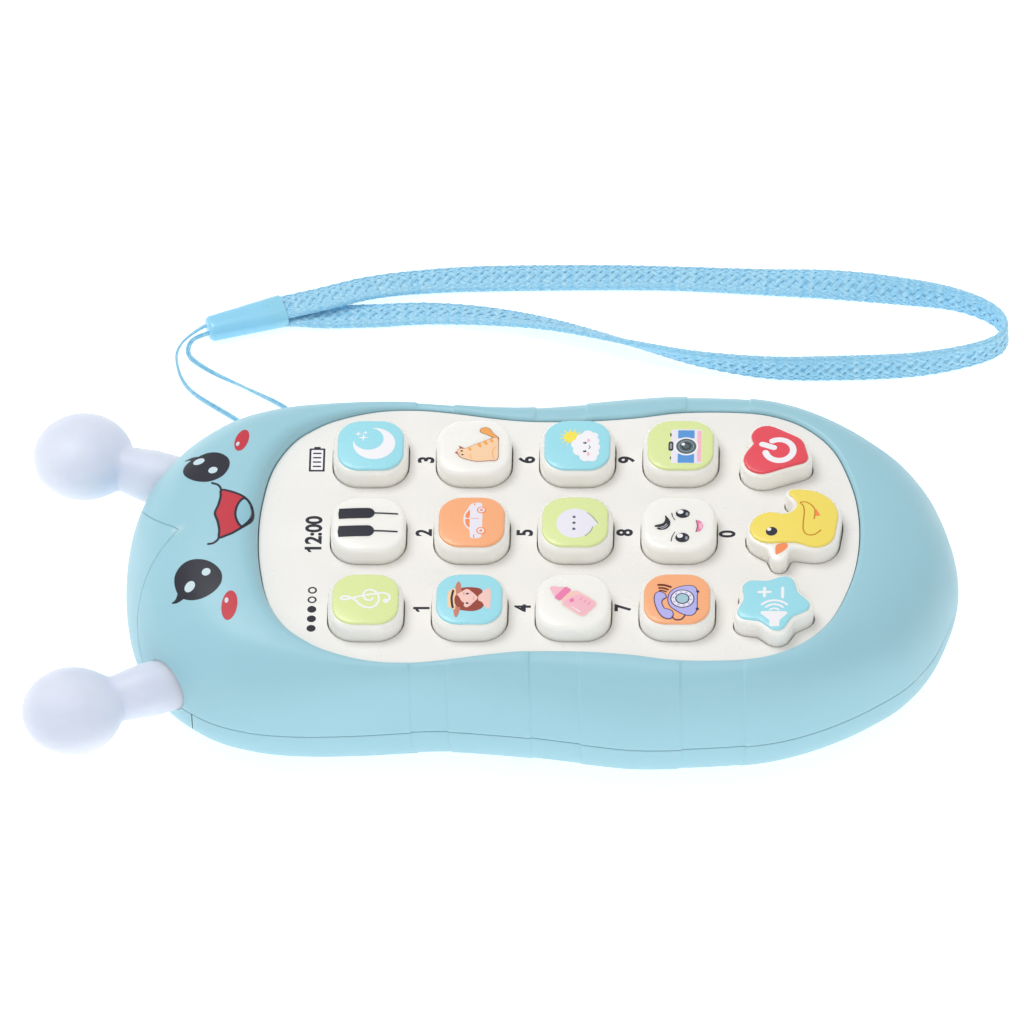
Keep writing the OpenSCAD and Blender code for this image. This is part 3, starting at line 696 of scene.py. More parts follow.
def make_rear():
    rear = rear_solid("rear_shell")
    for x, y in CASE_AT:
        boolean(rear, [cylinder(3.3, (x, y, WALL - 0.1), (x, y, PART_Z))], "UNION")
    boolean(rear, [block((-44.5, -14.5, WALL - 0.5), (21, 14.5, 14.8))], "UNION")
    cuts = [block((-90, -50, -2), (UNDER_X + 0.08, 50, PART_Z + 2))]
    for x, y in CASE_AT:
        cuts += [cylinder(2.4, (x, y, -1), (x, y, 5.5)), cylinder(2.75, (x, y, -1), (x, y, 0.35), 40, 2.4),
            cylinder(1.5, (x, y, -1), (x, y, PART_Z + 1))]
    for x, y in grille_points():
        at = (SPEAKER_AT[0] + x, SPEAKER_AT[1] + y)
        cuts += [cylinder(0.9, (*at, -1), (*at, 4), 32), cylinder(1.25, (*at, -0.05), (*at, 0.3), 32, 0.9)]
    cuts += [block((BAY[0], -BAY_HALF, -1), (BAY[1], BAY_HALF, 13.4)), block((-40.3, -13, -1), (19.3, 13, 1.7)),
        cylinder(1.55, (DOOR_SCREW_X, 0, -1), (DOOR_SCREW_X, 0, 6))]
    for k in (-1, 1):
        cuts.append(block((-42.6, TAB_Y * k - 2.9, 1.7), (-38.4, TAB_Y * k + 2.9, 4.3)))
    for x in (-35, -28):
        cuts += [cylinder(1.3, (x, 28, 10), (x, 40, 10), 36)]
    boolean(rear, cuts)
    finish_piece(rear, HOUSING, "phone", ("rear_housing",), 38, weighted=True)


front, head_cap = make_front()
make_rear()
for horn_side, horn_name in ((-1, "horn_left"), (1, "horn_right")):
    make_antenna(horn_side, horn_name)


# ---------------- outlines made of arcs and tangents
def belt(circles, grow=0.0, arc=9, line=4):
    """Closed outline that runs counter-clockwise round circles (x, y, r), outside those with r > 0 and inside the
    hollow ones with r < 0. grow moves the whole outline outwards and keeps its number of points."""
    n = len(circles)
    turn = []
    for i in range(n):
        (x1, y1, r1), (x2, y2, r2) = circles[i], circles[(i + 1) % n]
        d, phi = hypot(x2 - x1, y2 - y1), atan2(y2 - y1, x2 - x1)
        turn.append(phi - acos(max(-1, min(1, (r1 - r2) / d))))
    ends = []
    for i in range(n):
        x, y, r = circles[i]
        r += grow
        a, b = turn[i - 1], turn[i]
        b = a + (b - a) % (2 * pi) if circles[i][2] > 0 else a - (a - b) % (2 * pi)
        ends.append([(x + r * cos(mix(a, b, k / (arc - 1))),
            y + r * sin(mix(a, b, k / (arc - 1)))) for k in range(arc)])
    out = []
    for i in range(n):
        out += ends[i]
        p, q = ends[i][-1], ends[(i + 1) % n][0]
        out += [(mix(p[0], q[0], k / line), mix(p[1], q[1], k / line)) for k in range(1, line)]
    return out


def turned(points, angle):
    c, s = circle(angle)
    return [(x * c - y * s, x * s + y * c) for x, y in points]


# Key outlines and drawings are made as they are looked at with the phone upright: right is +Y, up is -X.
def upright(point, at):
    return (at[0] - point[1], at[1] + point[0])


HALF = KEY_W / 2 - KEY_CORNER
SQUARE = [(HALF, -HALF, KEY_CORNER), (HALF, HALF, KEY_CORNER), (-HALF, HALF, KEY_CORNER), (-HALF, -HALF, KEY_CORNER)]
HEART = [(-1.5, -4.2, 1.75), (0.7, -2.4, 2.95), (3.4, 1.75, 2.75), (1.7, 4.5, -0.45), (-2.2, 2.4, 3.45)]
HEART_BASE = [(-1.5, -4.2, 2.45), (0.7, -2.4, 3.65), (3.4, 1.75, 3.45), (1.75, 5.75, -0.85), (-2.2, 2.4, 4.15)]
STAR = [(far * cos(radians(190 + 72 * k + turn)), far * sin(radians(190 + 72 * k + turn)),
    radius) for k in range(5) for turn, far, radius in ((0, 5.1, 1.75), (36, 7.4, -2.2))]
DUCK = [(1.8, -1.9, 6.4), (7.3, -0.2, 0.95), (4.25, 1.7, -2.5), (-1.35, 4.1, 3.7), (-8.6, -0.1, -3.6),
    (-2.3, -4.1, 3.7)]
DUCK_BASE = [(1.8, -1.9, 7.1), (7.3, -0.2, 1.65), (4.25, 1.7, -1.8), (-1.35, 4.1, 4.4), (-6.9, 5.3, -0.92),
    (-7.6, 2.4, 1.55), (-7.4, -0.6, -1.2), (-2.3, -4.1, 4.4)]
BORDER = 0.7             # cream border round a shaped key's cap
STAR_BASE = [(x, y, r + BORDER) for x, y, r in STAR]
SQUARE_BORDER = 0.85
# the three shaped keys: name, middle, outline of the cream base, outline of the cap
SHAPED = (("heart", HEART_AT, HEART_BASE, HEART), ("duck", DUCK_AT, DUCK_BASE, DUCK),
    ("star", STAR_AT, STAR_BASE, STAR))


def dome(x, y, at, top):
    """Height of a key's domed top."""
    return top - ((x - at[0]) ** 2 + (y - at[1]) ** 2) / (2 * DOME_R)


def fill(outlines, spacing):
    """Triangles inside closed outlines, of which the later ones are holes, with a grid of points spacing apart."""
    verts, edges = [], []
    for line in outlines:
        first = len(verts)
        verts += [Vector(p) for p in line]
        edges += [(first + i, first + (i + 1) % len(line)) for i in range(len(line))]
    if spacing:
        polygon = np.array(outlines[0])
        low, high = polygon.min(0), polygon.max(0)
        for i, x in enumerate(np.arange(low[0] + spacing / 2, high[0], spacing * 0.87)):
            for y in np.arange(low[1] + spacing * (0.5 if i % 2 else 0.25), high[1], spacing):
                if inside(polygon, x, y) and np.min(np.hypot(polygon[:, 0] - x, polygon[:, 1] - y)) > spacing * 0.35:
                    verts.append(Vector((x, y)))
    out, _, faces, _, _, _ = geometry.delaunay_2d_cdt(verts, edges, [], 1, 1e-7)
    holes = [np.array(line) for line in outlines[1:]]
    middle = [np.mean([out[i] for i in f], 0) for f in faces]
    faces = [f for f, (x, y) in zip(faces, middle) if not any(inside(h, x, y) for h in holes)]
    return [tuple(v) for v in out], faces


def inside(polygon, x, y):
    a, b = polygon, np.roll(polygon, -1, 0)
    crosses = (a[:, 1] > y) != (b[:, 1] > y)
    at = a[:, 0] + (y - a[:, 1]) / np.where(b[:, 1] == a[:, 1], 1e-9, b[:, 1] - a[:, 1]) * (b[:, 0] - a[:, 0])
    return bool((crosses & (x < at)).sum() % 2)


def add_sheet(verts, faces, outlines, spacing, height):
    """Adds a filled outline that follows a height."""
    flat, tris = fill(outlines, spacing)
    first = len(verts)
    verts += [(x, y, height(x, y)) for x, y in flat]
    faces += [tuple(first + i for i in f) for f in tris]


def capped_column(name, levels, top, bottom, bottom_spacing):
    """Closed solid whose sides follow the levels (rings of points) and whose two ends follow the given heights."""
    verts = [p for ring in levels for p in ring]
    faces = grid_faces(len(levels), len(levels[0]))
    add_sheet(verts, faces, [[p[:2] for p in levels[-1]]], 1.0, top)
    add_sheet(verts, faces, [[p[:2] for p in levels[0]]], bottom_spacing, bottom)
    obj = link_mesh(name, verts, faces)
    tidy(obj, 0.002)
    return obj


def level_ring(circles, at, grow, height):
    """One ring of a key's side, at the height given for each of its points."""
    return [(x, y, height(x, y)) for x, y in (upright(p, at) for p in belt(circles, grow))]


def make_key(name, at, circles, flange, edge_r=1.0):
    """Moulded key: hidden flange, straight stem, rounded upper edge and slightly domed top."""
    def ring(grow, drop):
        return level_ring(circles, at, grow, lambda x, y: dome(x, y, at, KEY_TOP_Z - SKIN_T) - drop)

    low, high = FLANGE_Z, FLANGE_Z + FLANGE_T
    levels = [level_ring(circles, at, grow, lambda x, y: z) for grow, z in ((flange, low), (flange, high), (0, high))]
    levels.append(ring(0, edge_r + 0.8))
    for a in (0, 15, 30, 45, 60, 75, 90):
        c, s = circle(a)
        levels.append(ring(-edge_r * (1 - c), edge_r * (1 - s)))
    obj = capped_column("button_" + name, levels, lambda x, y: dome(x, y, at, KEY_TOP_Z - SKIN_T), lambda x, y: low,
        0)
    finish_piece(obj, CREAM, "key_" + name, ("key_" + name,), 50, weighted=True)


def make_skin(name, at, circles, inset, tint, node, edge_r=0.3):
    """Coloured cap on a key: low wall, rounded edge, domed face."""
    def ring(grow, drop):
        return level_ring(circles, at, grow, lambda x, y: dome(x, y, at, KEY_TOP_Z) - drop)

    levels = [ring(-inset, SKIN_T + 0.05), ring(-inset, edge_r)]
    for a in (22, 45, 67, 90):
        c, s = circle(a)
        levels.append(ring(-inset - edge_r * (1 - c), edge_r * (1 - s)))
    obj = capped_column("skin_" + name, levels, lambda x, y: dome(x, y, at, KEY_TOP_Z), lambda x,
        y: dome(x, y, at, KEY_TOP_Z) - SKIN_T - 0.05, 1.0)
    finish_piece(obj, SKINS[tint], "key_" + name, (node,), 50, weighted=True)


# ---------------- printed drawings
CURVE_STEPS = 5          # points between two given ones on a drawn curve


def ellipse(centre, a, b=None, angle=0.0, n=36, start=0.0, end=360.0):
    b = a if b is None else b
    full = end - start >= 359.9
    steps = [start + (end - start) * k / (n if full else n - 1) for k in range(n)]
    ring = [(a * c, b * s) for c, s in map(circle, steps)]
    return [(centre[0] + x, centre[1] + y) for x, y in turned(ring, angle)]


def blob(points):
    """Smooth closed outline through a few points."""
    q = np.array(points, float)
    n = len(q)
    return [tuple(between(q[i - 1], q[i], q[(i + 1) % n], q[(i + 2) % n],
        s / CURVE_STEPS)) for i in range(n) for s in range(CURVE_STEPS)]


def stroke(points, width, taper=0.0, curved=True):
    """Outline of a pen line with round ends; taper is the share by which its far end is thinner."""
    q = smooth_route(points, CURVE_STEPS) if curved and len(points) > 2 else np.array(points, float)
    n = len(q)
    left, right = [], []
    for i in range(n):
        t = q[min(i + 1, n - 1)] - q[max(i - 1, 0)]
        t = t / np.linalg.norm(t)
        w = width / 2 * (1 - taper * i / (n - 1))
        side = np.array([-t[1], t[0]]) * w
        left.append(tuple(q[i] + side))
        right.append(tuple(q[i] - side))
    ends = []
    for centre, t, w in ((q[-1], q[-1] - q[-2], width / 2 * (1 - taper)), (q[0], q[0] - q[1], width / 2)):
        a = atan2(t[1], t[0])
        ends.append([(centre[0] + w * cos(a + k), centre[1] + w * sin(a + k)) for k in np.linspace(pi / 2, -pi / 2,
            7)[1:-1]])
    return left + ends[0] + right[::-1] + ends[1]


def dash(start, end, width, taper=0.0):
    return stroke([start, end], width, taper, curved=False)


def panel(x0, y0, x1, y1, r):
    """Rounded rectangle whose corners are centred on the given lines."""
    return belt([(x1, y0, r), (x1, y1, r), (x0, y1, r), (x0, y0, r)])


def crescent(c1, r1, c2, r2, n=30):
    """Outline of disc 1 less disc 2."""
    d, phi = hypot(c2[0] - c1[0], c2[1] - c1[1]), degrees(atan2(c2[1] - c1[1], c2[0] - c1[0]))
    a1 = degrees(acos((d * d + r1 * r1 - r2 * r2) / (2 * d * r1)))
    a2 = degrees(acos((d * d + r2 * r2 - r1 * r1) / (2 * d * r2)))
    outer = ellipse(c1, r1, n=n, start=phi + a1, end=phi + 360 - a1)
    inner = ellipse(c2, r2, n=n, start=phi + 180 - a2, end=phi + 180 + a2)
    return outer + inner[::-1][1:-1]


def sparkle(centre, size):
    """Four-pointed star."""
    spokes = [(size * (0.25 if k % 2 else 1), pi * k / 4) for k in range(8)]
    return [(centre[0] + r * cos(a), centre[1] + r * sin(a)) for r, a in spokes]


def ring_patch(centre, radius, width, n=48):
    outer, inner = ellipse(centre, radius + width / 2, n=n), ellipse(centre, radius - width / 2, n=n)
    faces = [(i, (i + 1) % n, n + (i + 1) % n, n + i) for i in range(n)]
    return outer + inner, faces


LAYER = 0.012            # thickness of one printed layer
SINK = 0.03              # how far a print reaches into what it is printed on


def add_patch(bm, flat, faces, height, layer, slot_index):
    """Adds one printed patch as a thin closed solid that follows a surface."""
    top = [bm.verts.new(Vector((x, y, height(x, y) + LAYER * (layer + 1))) * MM) for x, y in flat]
    low = [bm.verts.new(Vector((x, y, height(x, y) - SINK)) * MM) for x, y in flat]
    edges = {(f[i - 1], f[i]): None for f in faces for i in (*range(1, len(f)), 0)}
    made = []
    for f in faces:
        made.append(bm.faces.new([top[i] for i in f]))
        made.append(bm.faces.new([low[i] for i in reversed(f)]))
    for a, b in edges:
        if (b, a) not in edges:
            made.append(bm.faces.new([top[b], top[a], low[a], low[b]]))
    for f in made:
        f.material_index = slot_index


def clean_outline(points, longest):
    """The outline without doubled points, its long edges split so that it can follow a curved surface."""
    out = []
    for i, p in enumerate(points):
        q = points[(i + 1) % len(points)]
        gap = dist(p, q)
        if gap > 0.01:
            n = max(1, ceil(gap / longest))
            out += [(mix(p[0], q[0], k / n), mix(p[1], q[1], k / n)) for k in range(n)]
    return out


def make_print(name, shapes, place, height, body, spacing=0.7):
    """One printed drawing. shapes holds (paint, outline or ready patch), later ones lie on top."""
    used, below = [], []
    bm = bmesh.new()
    for colour, shape in shapes:
        if colour not in used:
            used.append(colour)
        if isinstance(shape, tuple):
            flat, faces = shape
            flat = [place(p) for p in flat]
        else:
            line = [place(p) for p in clean_outline(shape, spacing or 9)]
            flat, faces = fill([line], spacing)
        low, high = np.min(flat, 0), np.max(flat, 0)
        layer = max([k + 1 for a, b, k in below if np.all(low < b) and np.all(a < high)], default=0)
        below.append((low, high, layer))
        add_patch(bm, flat, faces, height, layer, used.index(colour))
    bmesh.ops.recalc_face_normals(bm, faces=bm.faces)
    mesh = bpy.data.meshes.new(name)
    bm.to_mesh(mesh)
    bm.free()
    obj = add_object(name, mesh)
    for colour in used:
        mesh.materials.append(PAINTS[colour])
    return finish_piece(obj, None, body, (), 30)


def moon_art():
    return [("white", crescent((0.15, -0.65), 3.85, (1.25, 0.4), 2.75)), ("white", sparkle((2.5, 2.3), 0.75)),
        ("white", sparkle((1.5, 1.35), 1.0)), ("white", sparkle((2.75, 1.0), 0.6))]


def cat_art():
    body = blob([(-3.3, -4.3), (-3.7, -2.6), (-3.85, -0.4), (-3.4, 1.2), (-2.9, 2.3), (-2.3, 2.75), (-1.5, 3.0),
        (-0.9, 2.6), (-0.9, 1.7), (-0.6, 0.9), (-0.1, 0.1), (0.5, -1.1), (1.2, -2.4), (1.85, -3.5), (1.7, -4.3),
        (-0.8, -4.4)])
    tail = blob([(1.3, -4.3), (2.0, -3.5), (2.7, -2.3), (3.3, -1.2), (4.1, -1.2), (4.5, -2.0), (4.1, -2.8),
        (3.2, -3.3), (2.5, -3.9), (2.0, -4.4)])
    ears = [[(-0.95, 2.45), (-0.1, 2.75), (-0.75, 1.85)], [(-2.4, 2.7), (-1.75, 3.45), (-1.5, 2.9)]]
    art = [("brown", grown(tail, 0.1)), ("amber", tail), ("brown", grown(body, 0.1))]
    art += [("brown", ear) for ear in ears] + [("peach", body)]
    for x, y, size in ((-0.75, 0.75, 0.5), (0.25, -1.0, 0.6), (0.85, -2.1, 0.62), (1.35, -3.2, 0.5)):
        art.append(("amber", ellipse((x - size * 0.45, y), size, size * 0.55, 25)))
    art += [("ink", ellipse((-1.45, 2.2), 0.17, 0.24)), ("ink", ellipse((-2.35, 2.05), 0.15, 0.22)),
        ("rose", ellipse((-2.0, 2.55), 0.16, 0.11)), ("amber",
        stroke([(-3.2, -3.7), (-1.6, -3.4), (-0.4, -3.9)], 0.14)),
        ("amber", stroke([(-3.4, 0.3), (-2.8, 0.6), (-2.3, 0.5)], 0.12))]
    return art


def puffs(circles, centre, n=110):
    """Outline of overlapping discs, all seen from one point inside them."""
    out = []
    for k in range(n):
        dx, dy = cos(2 * pi * k / n), sin(2 * pi * k / n)
        far = 0.0
        for x, y, r in circles:
            along = (x - centre[0]) * dx + (y - centre[1]) * dy
            off = (x - centre[0]) * dy - (y - centre[1]) * dx
            if abs(off) < r:
                far = max(far, along + sqrt(r * r - off * off))
        out.append((centre[0] + far * dx, centre[1] + far * dy))
    return out


def weather_art():
    art = []
    for k in range(12):
        a = radians(30 * k + 8)
        p, q = (1.6 + 1.45 * cos(a), 1.1 + 1.45 * sin(a)), (1.6 + 2.15 * cos(a), 1.1 + 2.15 * sin(a))
        art.append(("sun", dash(p, q, 0.26, 0.5)))
    art.append(("sun", ellipse((1.6, 1.1), 1.35)))
    cloud = puffs([(-3.1, -1.6, 1.15), (-1.7, -0.5, 1.25), (-0.2, -0.2, 1.3), (1.3, -0.9, 1.1), (2.3, -1.9, 1.0),
        (2.0, -3.0, 0.8), (0.7, -3.1, 0.95), (-0.8, -3.2, 1.0), (-2.2, -3.1, 0.95), (-3.4, -2.8, 0.85)], (-0.5, -1.8))
    art.append(("white", cloud))
    for x in (-1.9, 0.15):
        art += [("ink", ellipse((x, -1.4), 0.24, 0.34)), ("white", ellipse((x + 0.08, -1.28), 0.08))]
    art += [("ink", stroke([(-1.25, -2.15), (-0.88, -2.4), (-0.5, -2.15)], 0.13)),
        ("pink", ellipse((-2.5, -2.05), 0.45, 0.26)), ("pink", ellipse((0.75, -2.05), 0.45, 0.26))]
    return art


def camera_art():
    lens = (-0.7, -1.05)
    return [("lilac_white", panel(-4.3, -3.5, 3.2, 1.3, 0.4)), ("pink", panel(-4.1, -3.55, 3.0, -3.3, 0.25)),
        ("blue", panel(-4.5, -2.4, -2.6, 0.35, 0.12)), ("blue", panel(1.4, -2.4, 3.2, 0.35, 0.12)),
        ("white", ellipse(lens, 2.2)), ("slate", ellipse(lens, 1.85)), ("grey", ring_patch(lens, 1.35, 0.16)),
        ("ink", ring_patch(lens, 0.75, 0.2)), ("white", ellipse((-0.25, -0.5), 0.33)),
        ("ink", belt([(0.05, 1.75, 0.45), (-1.35, 1.75, 0.45)])),
        ("grey", belt([(-0.15, 1.75, 0.2), (-1.15, 1.75, 0.2)])), ("ink", dash((1.9, 1.8), (2.5, 1.8), 0.24)),
        ("ink", dash((-3.7, 1.8), (-3.2, 1.8), 0.2))]


def piano_art():
    art = []
    for x in (-2.15, 2.2):
        bar = [(x - 1.3, 5.35), (x - 1.3, 0.1)] + ellipse((x, 0.05), 1.3, 1.2, n=13, start=180, end=360)[1:]
        art += [("ink", bar + [(x + 1.3, 5.35), (x, 5.5)]), ("ink", dash((x, -1.0), (x - 0.05, -5.3), 0.36))]
    return art


def car_art():
    body = blob([(-4.1, -1.6), (-4.3, -0.6), (-4.0, 0.15), (-2.4, 0.35), (-1.6, 1.0), (-0.4, 1.45), (1.4, 1.4),
        (2.7, 0.8), (3.9, 0.3), (4.4, -0.5), (4.4, -1.5), (3.6, -1.9), (0.0, -1.95), (-3.2, -1.9)])
    front_glass = blob([(-1.75, 0.35), (-1.2, 0.9), (-0.2, 1.15), (0.25, 1.1), (0.25, 0.4), (-0.8, 0.35)])
    rear_glass = blob([(0.7, 0.4), (0.7, 1.1), (1.5, 1.05), (2.5, 0.5), (2.4, 0.35)])
    art = [("lilac_white", body), ("orange", front_glass), ("orange", rear_glass)]
    for x in (-2.5, 2.6):
        art += [("orange", ellipse((x, -1.75), 0.85)), ("lilac_white", ellipse((x, -1.75), 0.62)),
            ("orange", ellipse((x, -1.75), 0.28))]
    return art + [("orange", dash((-4.1, -0.5), (-3.5, -0.45), 0.22)),
        ("orange", dash((4.2, -0.5), (3.8, -0.5), 0.22)), ("orange", dash((0.45, 0.2), (0.45, -1.3), 0.1))]


def message_art():
    bubble = ellipse((-0.65, 0.1), 3.55, 3.3, n=40, start=-62, end=242) + [(-0.75, -4.1)]
    shadow = stroke([(-3.7, -1.9), (-2.7, -2.8), (-1.5, -3.25)], 0.16)
    art = [("lilac_white", bubble), ("grey", shadow), ("grey",
        stroke([(-0.5, -4.1), (0.9, -3.2), (1.9, -2.2)], 0.16))]
    return art + [("slate", ellipse((x, 0.2), 0.3)) for x in (-2.1, -0.65, 0.8)]


def baby_art():
    lock = blob([(-1.9, 3.4), (-1.75, 2.3), (-1.0, 1.65), (0.0, 1.55), (0.9, 1.95), (1.6, 2.5), (0.7, 2.5),
        (-0.1, 2.7), (-0.5, 3.3), (-0.75, 4.3), (-1.15, 4.3), (-1.25, 3.6), (-1.5, 4.0)])
    art = [("ink", lock), ("lilac_white", stroke([(-1.35, 3.5), (-1.1, 2.7), (-0.5, 2.2)], 0.1)),
        ("lilac_white", stroke([(-1.65, 3.2), (-1.4, 2.5), (-0.8, 2.0)], 0.08)),
        ("ink", stroke([(-4.6, 1.3), (-3.6, 1.15), (-2.5, 0.65)], 0.2, 0.3)),
        ("ink", stroke([(2.1, 1.3), (1.3, 1.15), (0.4, 0.7)], 0.2, 0.3))]
    for x in (-3.8, 2.0):
        art += [("ink", ellipse((x, -0.7), 1.1, 1.28)), ("white", ellipse((x + 0.42, -0.25), 0.5, 0.55)),
            ("grey", ellipse((x - 0.1, -1.45), 0.42, 0.25))]
    mouth = blob([(-2.4, -3.15), (-1.7, -3.35), (-1.0, -3.45), (-0.3, -3.35), (0.4, -3.15), (0.2, -3.95),
        (-0.9, -4.45), (-2.1, -3.95)])
    return art + [("rose", mouth), ("pink", ellipse((-0.95, -4.0), 0.75, 0.3)),
        ("wine", stroke([(-2.4, -3.15), (-1.0, -3.4), (0.4, -3.15)], 0.14))]


def music_art():
    clef = [(-1.0, -3.7), (-0.3, -4.35), (0.75, -4.2), (1.15, -3.1), (0.75, -1.0), (0.1, 1.6), (-0.45, 3.5),
        (-0.2, 4.4), (0.35, 4.15), (0.3, 3.2), (-0.6, 1.9), (-1.9, 0.8), (-2.5, -0.6), (-2.0, -1.9), (-0.6, -2.5),
        (0.9, -2.2), (1.8, -1.2), (1.6, -0.1), (0.5, 0.4), (-0.6, -0.1), (-0.8, -0.9), (-0.2, -1.4)]
    art = [("white", stroke(clef[a:b], 0.42)) for a, b in ((0, 5), (4, 10), (9, 15), (14, 20), (19, 22))]
    return art + [("white", ellipse((-0.75, -3.75), 0.55))]


def girl_art():
    hair = blob([(-2.5, 2.6), (-3.1, 1.2), (-3.3, -0.6), (-2.9, -1.9), (-2.3, -2.5), (-1.2, -2.9), (0.3, -1.8),
        (1.4, -2.4), (2.2, -1.9), (2.5, -0.4), (2.4, 1.2), (1.9, 2.7), (-0.3, 3.1)])
    face = blob([(-2.4, 0.3), (-2.0, 1.0), (-0.6, 1.7), (0.5, 2.3), (1.3, 1.5), (2.0, 0.5), (1.5, -0.3), (0.3, -1.35),
        (-0.3, -1.5), (-1.4, -0.7)])
    shoulders = blob([(-2.4, -3.8), (-2.2, -2.9), (-1.2, -2.4), (-0.7, -1.7), (0.4, -1.7), (0.9, -2.2), (1.9, -2.8),
        (2.1, -3.8)])
    brim = ellipse((-0.35, 2.15), 4.35, 0.75, -2)
    crown = blob([(-2.6, 2.5), (-2.5, 3.3), (-2.1, 3.8), (-0.3, 4.0), (1.5, 3.8), (1.9, 3.3), (2.0, 2.5)])
    band = stroke([(-2.4, 2.95), (-0.3, 3.2), (1.7, 2.95)], 0.42)
    art = [("brown", hair), ("skin", shoulders), ("straw", brim), ("peach", crown), ("ink", band), ("skin", face)]
    art.append(("brown", blob([(-2.4, 1.9), (-1.8, 0.9), (-0.7, 1.5), (0.5, 2.1), (0.2, 2.6), (-1.4, 2.6)])))
    for x in (-1.45, 0.85):
        art += [("ink", ellipse((x, 0.35), 0.2, 0.28)), ("ink", dash((x - 0.25, 0.95), (x + 0.3, 1.0), 0.08))]
    return art + [("rose", stroke([(-0.6, -0.75), (-0.3, -0.9), (0.05, -0.75)], 0.13)),
        ("pink", ellipse((-1.65, -0.25), 0.35, 0.22)), ("pink", ellipse((1.15, -0.25), 0.35, 0.22))]


def bottle_art():
    lean = 38

    def part(outline):
        return [(x - 0.35, y - 0.2) for x, y in turned(outline, -lean)]

    glass = belt([(1.25, -2.9, 1.0), (1.3, 0.6, 0.9), (0.7, 1.6, 0.6), (-0.7, 1.6, 0.6), (-1.3, 0.6, 0.9),
        (-1.25, -2.9, 1.0)])
    milk = belt([(1.15, -2.85, 0.85), (1.15, -0.2, 0.7), (-1.15, 0.6, 0.7), (-1.15, -2.85, 0.85)])
    collar = panel(-1.35, 2.3, 1.35, 3.0, 0.35)
    teat = belt([(1.0, 3.5, 0.3), (0.45, 4.6, 0.3), (0.0, 5.1, 0.45), (-0.45, 4.6, 0.3), (-1.0, 3.5, 0.3)])
    art = [("pink", part(teat)), ("skin", part(glass)), ("pink", part(milk)), ("rose", part(collar))]
    for k in range(3):
        art.append(("rose", part(dash((0.7, -2.6 + 0.9 * k), (1.4, -2.6 + 0.9 * k), 0.14))))
    return art + [("rose", part(ellipse((-0.3, 0.3), 0.5, 0.4))),
        ("white", part(dash((-1.5, -2.6), (-1.5, -0.6), 0.22, 0.4)))]


def telephone_art():
    body = blob([(-4.2, -1.9), (-3.9, -3.1), (-2.6, -3.6), (0.0, -3.6), (1.6, -3.6), (2.7, -3.0), (2.85, -1.7),
        (2.3, 0.0), (1.2, 1.2), (-0.4, 1.55), (-2.0, 1.2), (-3.4, -0.3)])
    handset = blob([(-5.0, 1.2), (-4.7, 2.3), (-3.5, 3.2), (-1.4, 3.9), (0.4, 4.0), (1.3, 3.4), (0.9, 2.4),
        (0.0, 2.0), (-0.5, 2.6), (-1.4, 2.8), (-2.7, 2.3), (-3.0, 1.5), (-3.4, 0.9), (-4.3, 0.7)])
    art = [("plum", grown(body, 0.17)), ("lilac", body)]
    for x in (-2.7, 1.5):
        art.append(("plum", ellipse((x, -3.75), 0.3)))
    at = (-0.35, -1.0)
    art += [("plum", ellipse(at, 2.2)), ("lilac_white", ellipse(at, 2.0)), ("plum", ring_patch(at, 1.2, 0.22)),
        ("dial", ellipse(at, 1.08))]
    for k in range(10):
        a = radians(36 * k + 10)
        art.append(("lilac", ellipse((at[0] + 1.62 * cos(a), at[1] + 1.62 * sin(a)), 0.2, n=14)))
    art += [("plum", grown(handset, 0.17)), ("lilac", handset),
        ("plum", stroke([(-4.6, 0.8), (-5.3, 0.2), (-5.2, -0.9), (-4.2, -1.6)], 0.18))]
    for k, (x, y, size) in enumerate(((1.5, 2.6, 0.8), (2.1, 2.5, 1.1), (2.8, 2.35, 1.5))):
        art.append(("wine", stroke([(x - 0.2 * size, y - 0.8 * size), (x + 0.15 * size, y),
            (x + 0.22 * size, y + 0.75 * size)], 0.2 + 0.05 * k)))
    return art


def grown(outline, by):
    """The same outline, moved outwards."""
    q = np.array(outline, float)
    t = np.roll(q, -1, 0) - np.roll(q, 1, 0)
    t /= np.linalg.norm(t, axis=1)[:, None]
    area = np.sum(q[:, 0] * np.roll(q[:, 1], -1) - np.roll(q[:, 0], -1) * q[:, 1])
    out = np.stack([t[:, 1], -t[:, 0]], 1) * (1 if area > 0 else -1)
    return [tuple(p) for p in q + by * out]


def heart_art():
    at = (-0.3, -0.65)
    arc = ellipse(at, 2.55, n=40, start=104, end=390)
    return [("white", stroke(arc, 1.2, curved=False)), ("white", dash((0.25, 0.35), (1.15, 2.45), 1.2))]


def duck_art():
    wing = [(-2.2, -5.2), (-3.3, -4.1), (-3.4, -2.8), (-2.4, -2.05), (-0.4, -2.0), (2.2, -2.15), (3.7, -1.9),
        (4.5, -1.35), (4.6, -2.5), (3.7, -3.6), (2.4, -4.1), (0.5, -3.95)]
    return [("wing", stroke(wing, 0.26)), ("orange", [(1.1, -4.15), (3.0, -4.25), (1.4, -5.1)]),
        ("ink", ellipse((-2.6, 3.75), 1.02, 1.05)), ("white", ellipse((-2.1, 4.2), 0.38))]


def beak_art():
    return [("orange", blob([(-7.6, 2.8), (-6.7, 3.0), (-5.6, 2.9), (-5.2, 2.2), (-5.15, 1.0), (-5.9, 0.8),
        (-6.8, 1.5)]))]


